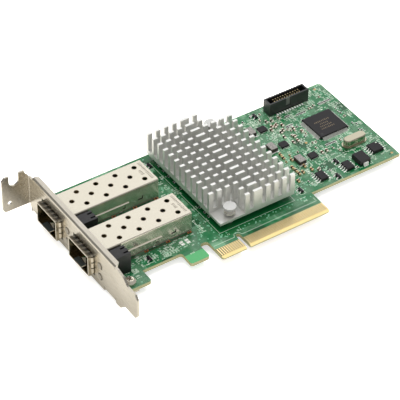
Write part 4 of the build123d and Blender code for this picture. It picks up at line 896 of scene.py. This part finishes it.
# What shows on the floor of each port mouth: a springy tongue, coloured dark blue-grey as a painted
# reflection of the dark inside, a pale strip of painted light where the lit floor shows through a
# slit, and a pale triangle of painted light where it shows through the latch window. All three lie
# on the cage floor and are given for the far cage.
PORT_FLOOR_Z = 0.6
TONGUE = (-61.3, 49.4, -58.9, 55.1, 0.12)
LIT_SLIT = (-61.3, 49.15, -59.2, 49.4, 0.18)
LIT_WINDOW = ((-58.4, 53.9), (-57.1, 52.9), (-58.8, 50.1))
LIT_WINDOW_RISE = 0.18
LIT_WINDOW_FACES = ((0, 1, 2), (5, 4, 3), (0, 3, 4, 1), (1, 4, 5, 2), (2, 5, 3, 0))
tongues, edges, points, faces = [], [], [], []
for low, _, _ in cages:
    drop = low[1] - cages[1][0][1]
    for (xa, ya, xb, yb, tall), made in ((TONGUE, tongues), (LIT_SLIT, edges)):
        made.append(((xa + xb) / 2, (ya + yb) / 2 + drop, PORT_FLOOR_Z + tall / 2, xb - xa, yb - ya, tall))
    faces += [tuple(len(points) + k for k in face) for face in LIT_WINDOW_FACES]
    points += [(x, y + drop, z) for z in (PORT_FLOOR_Z, PORT_FLOOR_Z + LIT_WINDOW_RISE) for x, y in LIT_WINDOW]
# The tongue's colour is a painted reflection of the dark inside of the cage.
repeated("port_tongues", tongues, finish_of("tongue_painted_dark_reflection", "3b403f", 0.35)[0])
# Painted light: a pale strip where the lit floor shows through the slit.
slit_light = finish_of("painted_light_through_slit", "e6dfcf", 0.35, metallic=0.3)[0]
repeated("port_slit_lights", edges, slit_light)
# Painted light: a pale triangle where the lit floor shows through the latch window.
window_light = finish_of("painted_light_through_window", "b9b4a6", 0.4, metallic=0.2)[0]
port_window_lights = plain_piece("port_window_lights", points, faces, window_light)
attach(port_window_lights, "root")

# Spring collars: beryllium copper fingers with a bright nickel skin. The tops of the upper row are
# painted dark towards the crest and behind it, as painted shade and painted reflection of the dark
# gap under the bracket, with a lighter line between pockets.
CREST_X = -59.5
CREST_FADE = 1.6
CREST_SHADE = (0.4, 0.97)
POCKET_PITCH = 2.65
POCKET_SHIFT = 0.4
POCKET_SKEW = 0.6
POCKET_EDGE = (0.22, 0.5)
POCKET_LIGHT = 0.3
UPPER_FACE = 0.3
spring_metal, tree, shader, place = finish_of("nickel_on_beryllium_copper", "cfc6b4", 0.17, metallic=1.0)
slow = add(tree, "ShaderNodeTexNoise", {"Vector": place, "Scale": 0.7, "Detail": 2.0})
satin = add(tree, "ShaderNodeMapRange", {0: slow, **NOISE_SPAN, 3: 0.12, 4: 0.24})
axes = add(tree, "ShaderNodeSeparateXYZ", {0: place}).outputs
facing = add(tree, "ShaderNodeSeparateXYZ", {0: add(tree, "ShaderNodeNewGeometry").outputs["True Normal"]})
on_top = add(tree, "ShaderNodeMath", {0: facing.outputs["Z"], 1: UPPER_FACE}, operation="GREATER_THAN")
# Painted shade and reflection: the tops darken from the front band to the crest and stay dark behind it.
tarnish_and_shade = add(tree, "ShaderNodeMapRange", {
    0: axes["X"], 1: CREST_X - CREST_FADE, 2: CREST_X, 3: CREST_SHADE[0], 4: CREST_SHADE[1]})
skew = add(tree, "ShaderNodeMath", {0: axes["X"], 1: POCKET_SKEW, 2: axes["Y"]}, operation="MULTIPLY_ADD")
skew = add(tree, "ShaderNodeMath", {0: skew, 1: POCKET_SHIFT}, operation="ADD")
pocket = add(tree, "ShaderNodeMath", {0: skew, 1: POCKET_PITCH / 2}, operation="PINGPONG")
patch = add(tree, "ShaderNodeMapRange", {0: pocket, 1: POCKET_EDGE[0], 2: POCKET_EDGE[1], 3: POCKET_LIGHT})
tarnish_and_shade = add(tree, "ShaderNodeMath", {0: tarnish_and_shade, 1: patch}, operation="MULTIPLY")
tarnish_and_shade = add(tree, "ShaderNodeMath", {0: tarnish_and_shade, 1: on_top}, operation="MULTIPLY")
tone = add(tree, "ShaderNodeMix", {0: tarnish_and_shade, 6: rgb("cfc6b4"), 7: rgb("1d1a16")}, data_type="RGBA")
drive(shader, Base_Color=tone, Roughness=satin)
dress(spring_metal, "collar_near", "collar_far")

# Heat sink: extruded aluminium, cross-cut into pins, bead blasted and clear anodised, so it is
# bright where it meets the light and grey between the pins.
aluminium, tree, shader, place = finish_of("clear_anodised_aluminium", "e8e8e4", 0.45, metallic=0.84)
drawn = add(tree, "ShaderNodeVectorMath", {0: place, 1: (4.0, 4.0, 0.25)}, operation="MULTIPLY")
drawn = add(tree, "ShaderNodeTexNoise", {"Vector": drawn, "Scale": 1.5, "Detail": 3.0})
satin = add(tree, "ShaderNodeMapRange", {0: drawn, **NOISE_SPAN, 3: 0.4, 4: 0.52})
sawn = add(tree, "ShaderNodeBump", {"Height": drawn, "Distance": 0.00002, "Strength": 0.15})
drive(shader, Roughness=satin, Normal=sawn)
dress(aluminium, "heatsink")

# Push pins and their springs: moulded natural nylon pins, slightly hazy, each with a coil of
# music wire under its cap.
nylon, tree, shader, place = finish_of("natural_nylon", "a8a8a5", 0.4, ior=1.53)
haze = add(tree, "ShaderNodeTexNoise", {"Vector": place, "Scale": 0.9, "Detail": 2.0})
tone = add(tree, "ShaderNodeMix", {0: haze, 6: rgb("acaca9"), 7: rgb("a1a19e")}, data_type="RGBA")
drive(shader, Base_Color=tone)
dress(nylon, "push_pins")
dress(finish_of("music_wire", "d6d3ca", 0.24, metallic=0.75)[0], "push_springs")

# The studio: a pale paper floor under the card and a white room that the bright metal mirrors,
# with one large soft lamp overhead and a weaker one from the front left.
FLOOR_HALF = 2000.0
PAPER_GLOW = 0.6
ROOM_LIGHT = 0.6
ROOM_MIRRORED = 0.36
BACKDROP = 1.02
WHITE = (1, 1, 1, 1)
floor_z = cad_box[0][2] / MM
corners = [(sx * FLOOR_HALF, sy * FLOOR_HALF, floor_z) for sx, sy in ((-1, -1), (1, -1), (1, 1), (-1, 1))]
paper, tree, shader, place = finish_of("white_studio_paper", "f4f1e9", 0.9)
path = add(tree, "ShaderNodeLightPath")
glow = add(tree, "ShaderNodeEmission", {"Color": WHITE, "Strength": PAPER_GLOW})
both = add(tree, "ShaderNodeAddShader", {0: shader, 1: glow})
seen = add(tree, "ShaderNodeMixShader", {0: path.outputs["Is Camera Ray"], 1: shader, 2: both})
tree.links.new(seen.outputs[0], tree.nodes["Material Output"].inputs["Surface"])
floor = plain_piece("studio_floor", corners, [(0, 1, 2, 3)], paper)

world = bpy.data.worlds.new("studio_room")
bpy.context.scene.world = world
world.use_nodes = True
tree = world.node_tree
tree.nodes.clear()
path = add(tree, "ShaderNodeLightPath")
room, backdrop, dim_room = [add(tree, "ShaderNodeBackground", {"Color": WHITE, "Strength": strength})
                            for strength in (ROOM_LIGHT, BACKDROP, ROOM_MIRRORED)]
seen = add(tree, "ShaderNodeMixShader", {0: path.outputs["Is Glossy Ray"], 1: room, 2: dim_room})
seen = add(tree, "ShaderNodeMixShader", {0: path.outputs["Is Camera Ray"], 1: seen, 2: backdrop})
add(tree, "ShaderNodeOutputWorld", {"Surface": seen})


def lamp(name, spot, aim, size, power, mirrored):
    """A square soft lamp at spot, turned to aim; the bright metal mirrors it or leaves it out."""
    light = bpy.data.lights.new(name, "AREA")
    light.shape = "SQUARE"
    light.size = size
    light.energy = power
    holder = bpy.data.objects.new(name, light)
    bpy.context.collection.objects.link(holder)
    holder.visible_glossy = mirrored
    holder.location = spot
    holder.rotation_euler = (Vector(aim) - Vector(spot)).to_track_quat("-Z", "Y").to_euler()


lamp("overhead_softbox", (0.15, 0.25, 0.9), (0.01, 0.03, 0), 0.9, 11.0, False)
lamp("front_left_softbox", (-0.7, -0.5, 0.45), (0.0, 0.03, 0), 0.5, 2.0, False)
lamp("mirror_panel", (0.62, 0.86, 0.95), (0.01, 0.03, 0), 1.5, 6.2, True)

# The camera stands where the photograph was taken: front left of the card, above it, with a long
# lens. Angles are in radians, its spot in metres.
AZIMUTH = -0.594225447
ELEVATION = 0.717634854
ROLL = 0.0095093482
CAMERA_SPOT = (-0.361413997, -0.500159518, 0.562196323)
LENS_MM = 192.245
SENSOR_MM = 36.0
CLIP_START = 0.01
back = Vector((math.sin(AZIMUTH) * math.cos(ELEVATION), -math.cos(AZIMUTH) * math.cos(ELEVATION),
               math.sin(ELEVATION)))
right = Vector((math.cos(AZIMUTH), math.sin(AZIMUTH), 0))
up = back.cross(right)
across = math.cos(ROLL) * right + math.sin(ROLL) * up
upward = math.cos(ROLL) * up - math.sin(ROLL) * right
lens = bpy.data.cameras.new("studio_camera")
lens.lens = LENS_MM
lens.sensor_width = SENSOR_MM
lens.clip_start = CLIP_START
camera = bpy.data.objects.new("studio_camera", lens)
bpy.context.collection.objects.link(camera)
camera.matrix_world = Matrix.Translation(CAMERA_SPOT) @ Matrix((across, upward, back)).transposed().to_4x4()
bpy.context.scene.camera = camera
bpy.context.scene.view_settings.view_transform = "Standard"
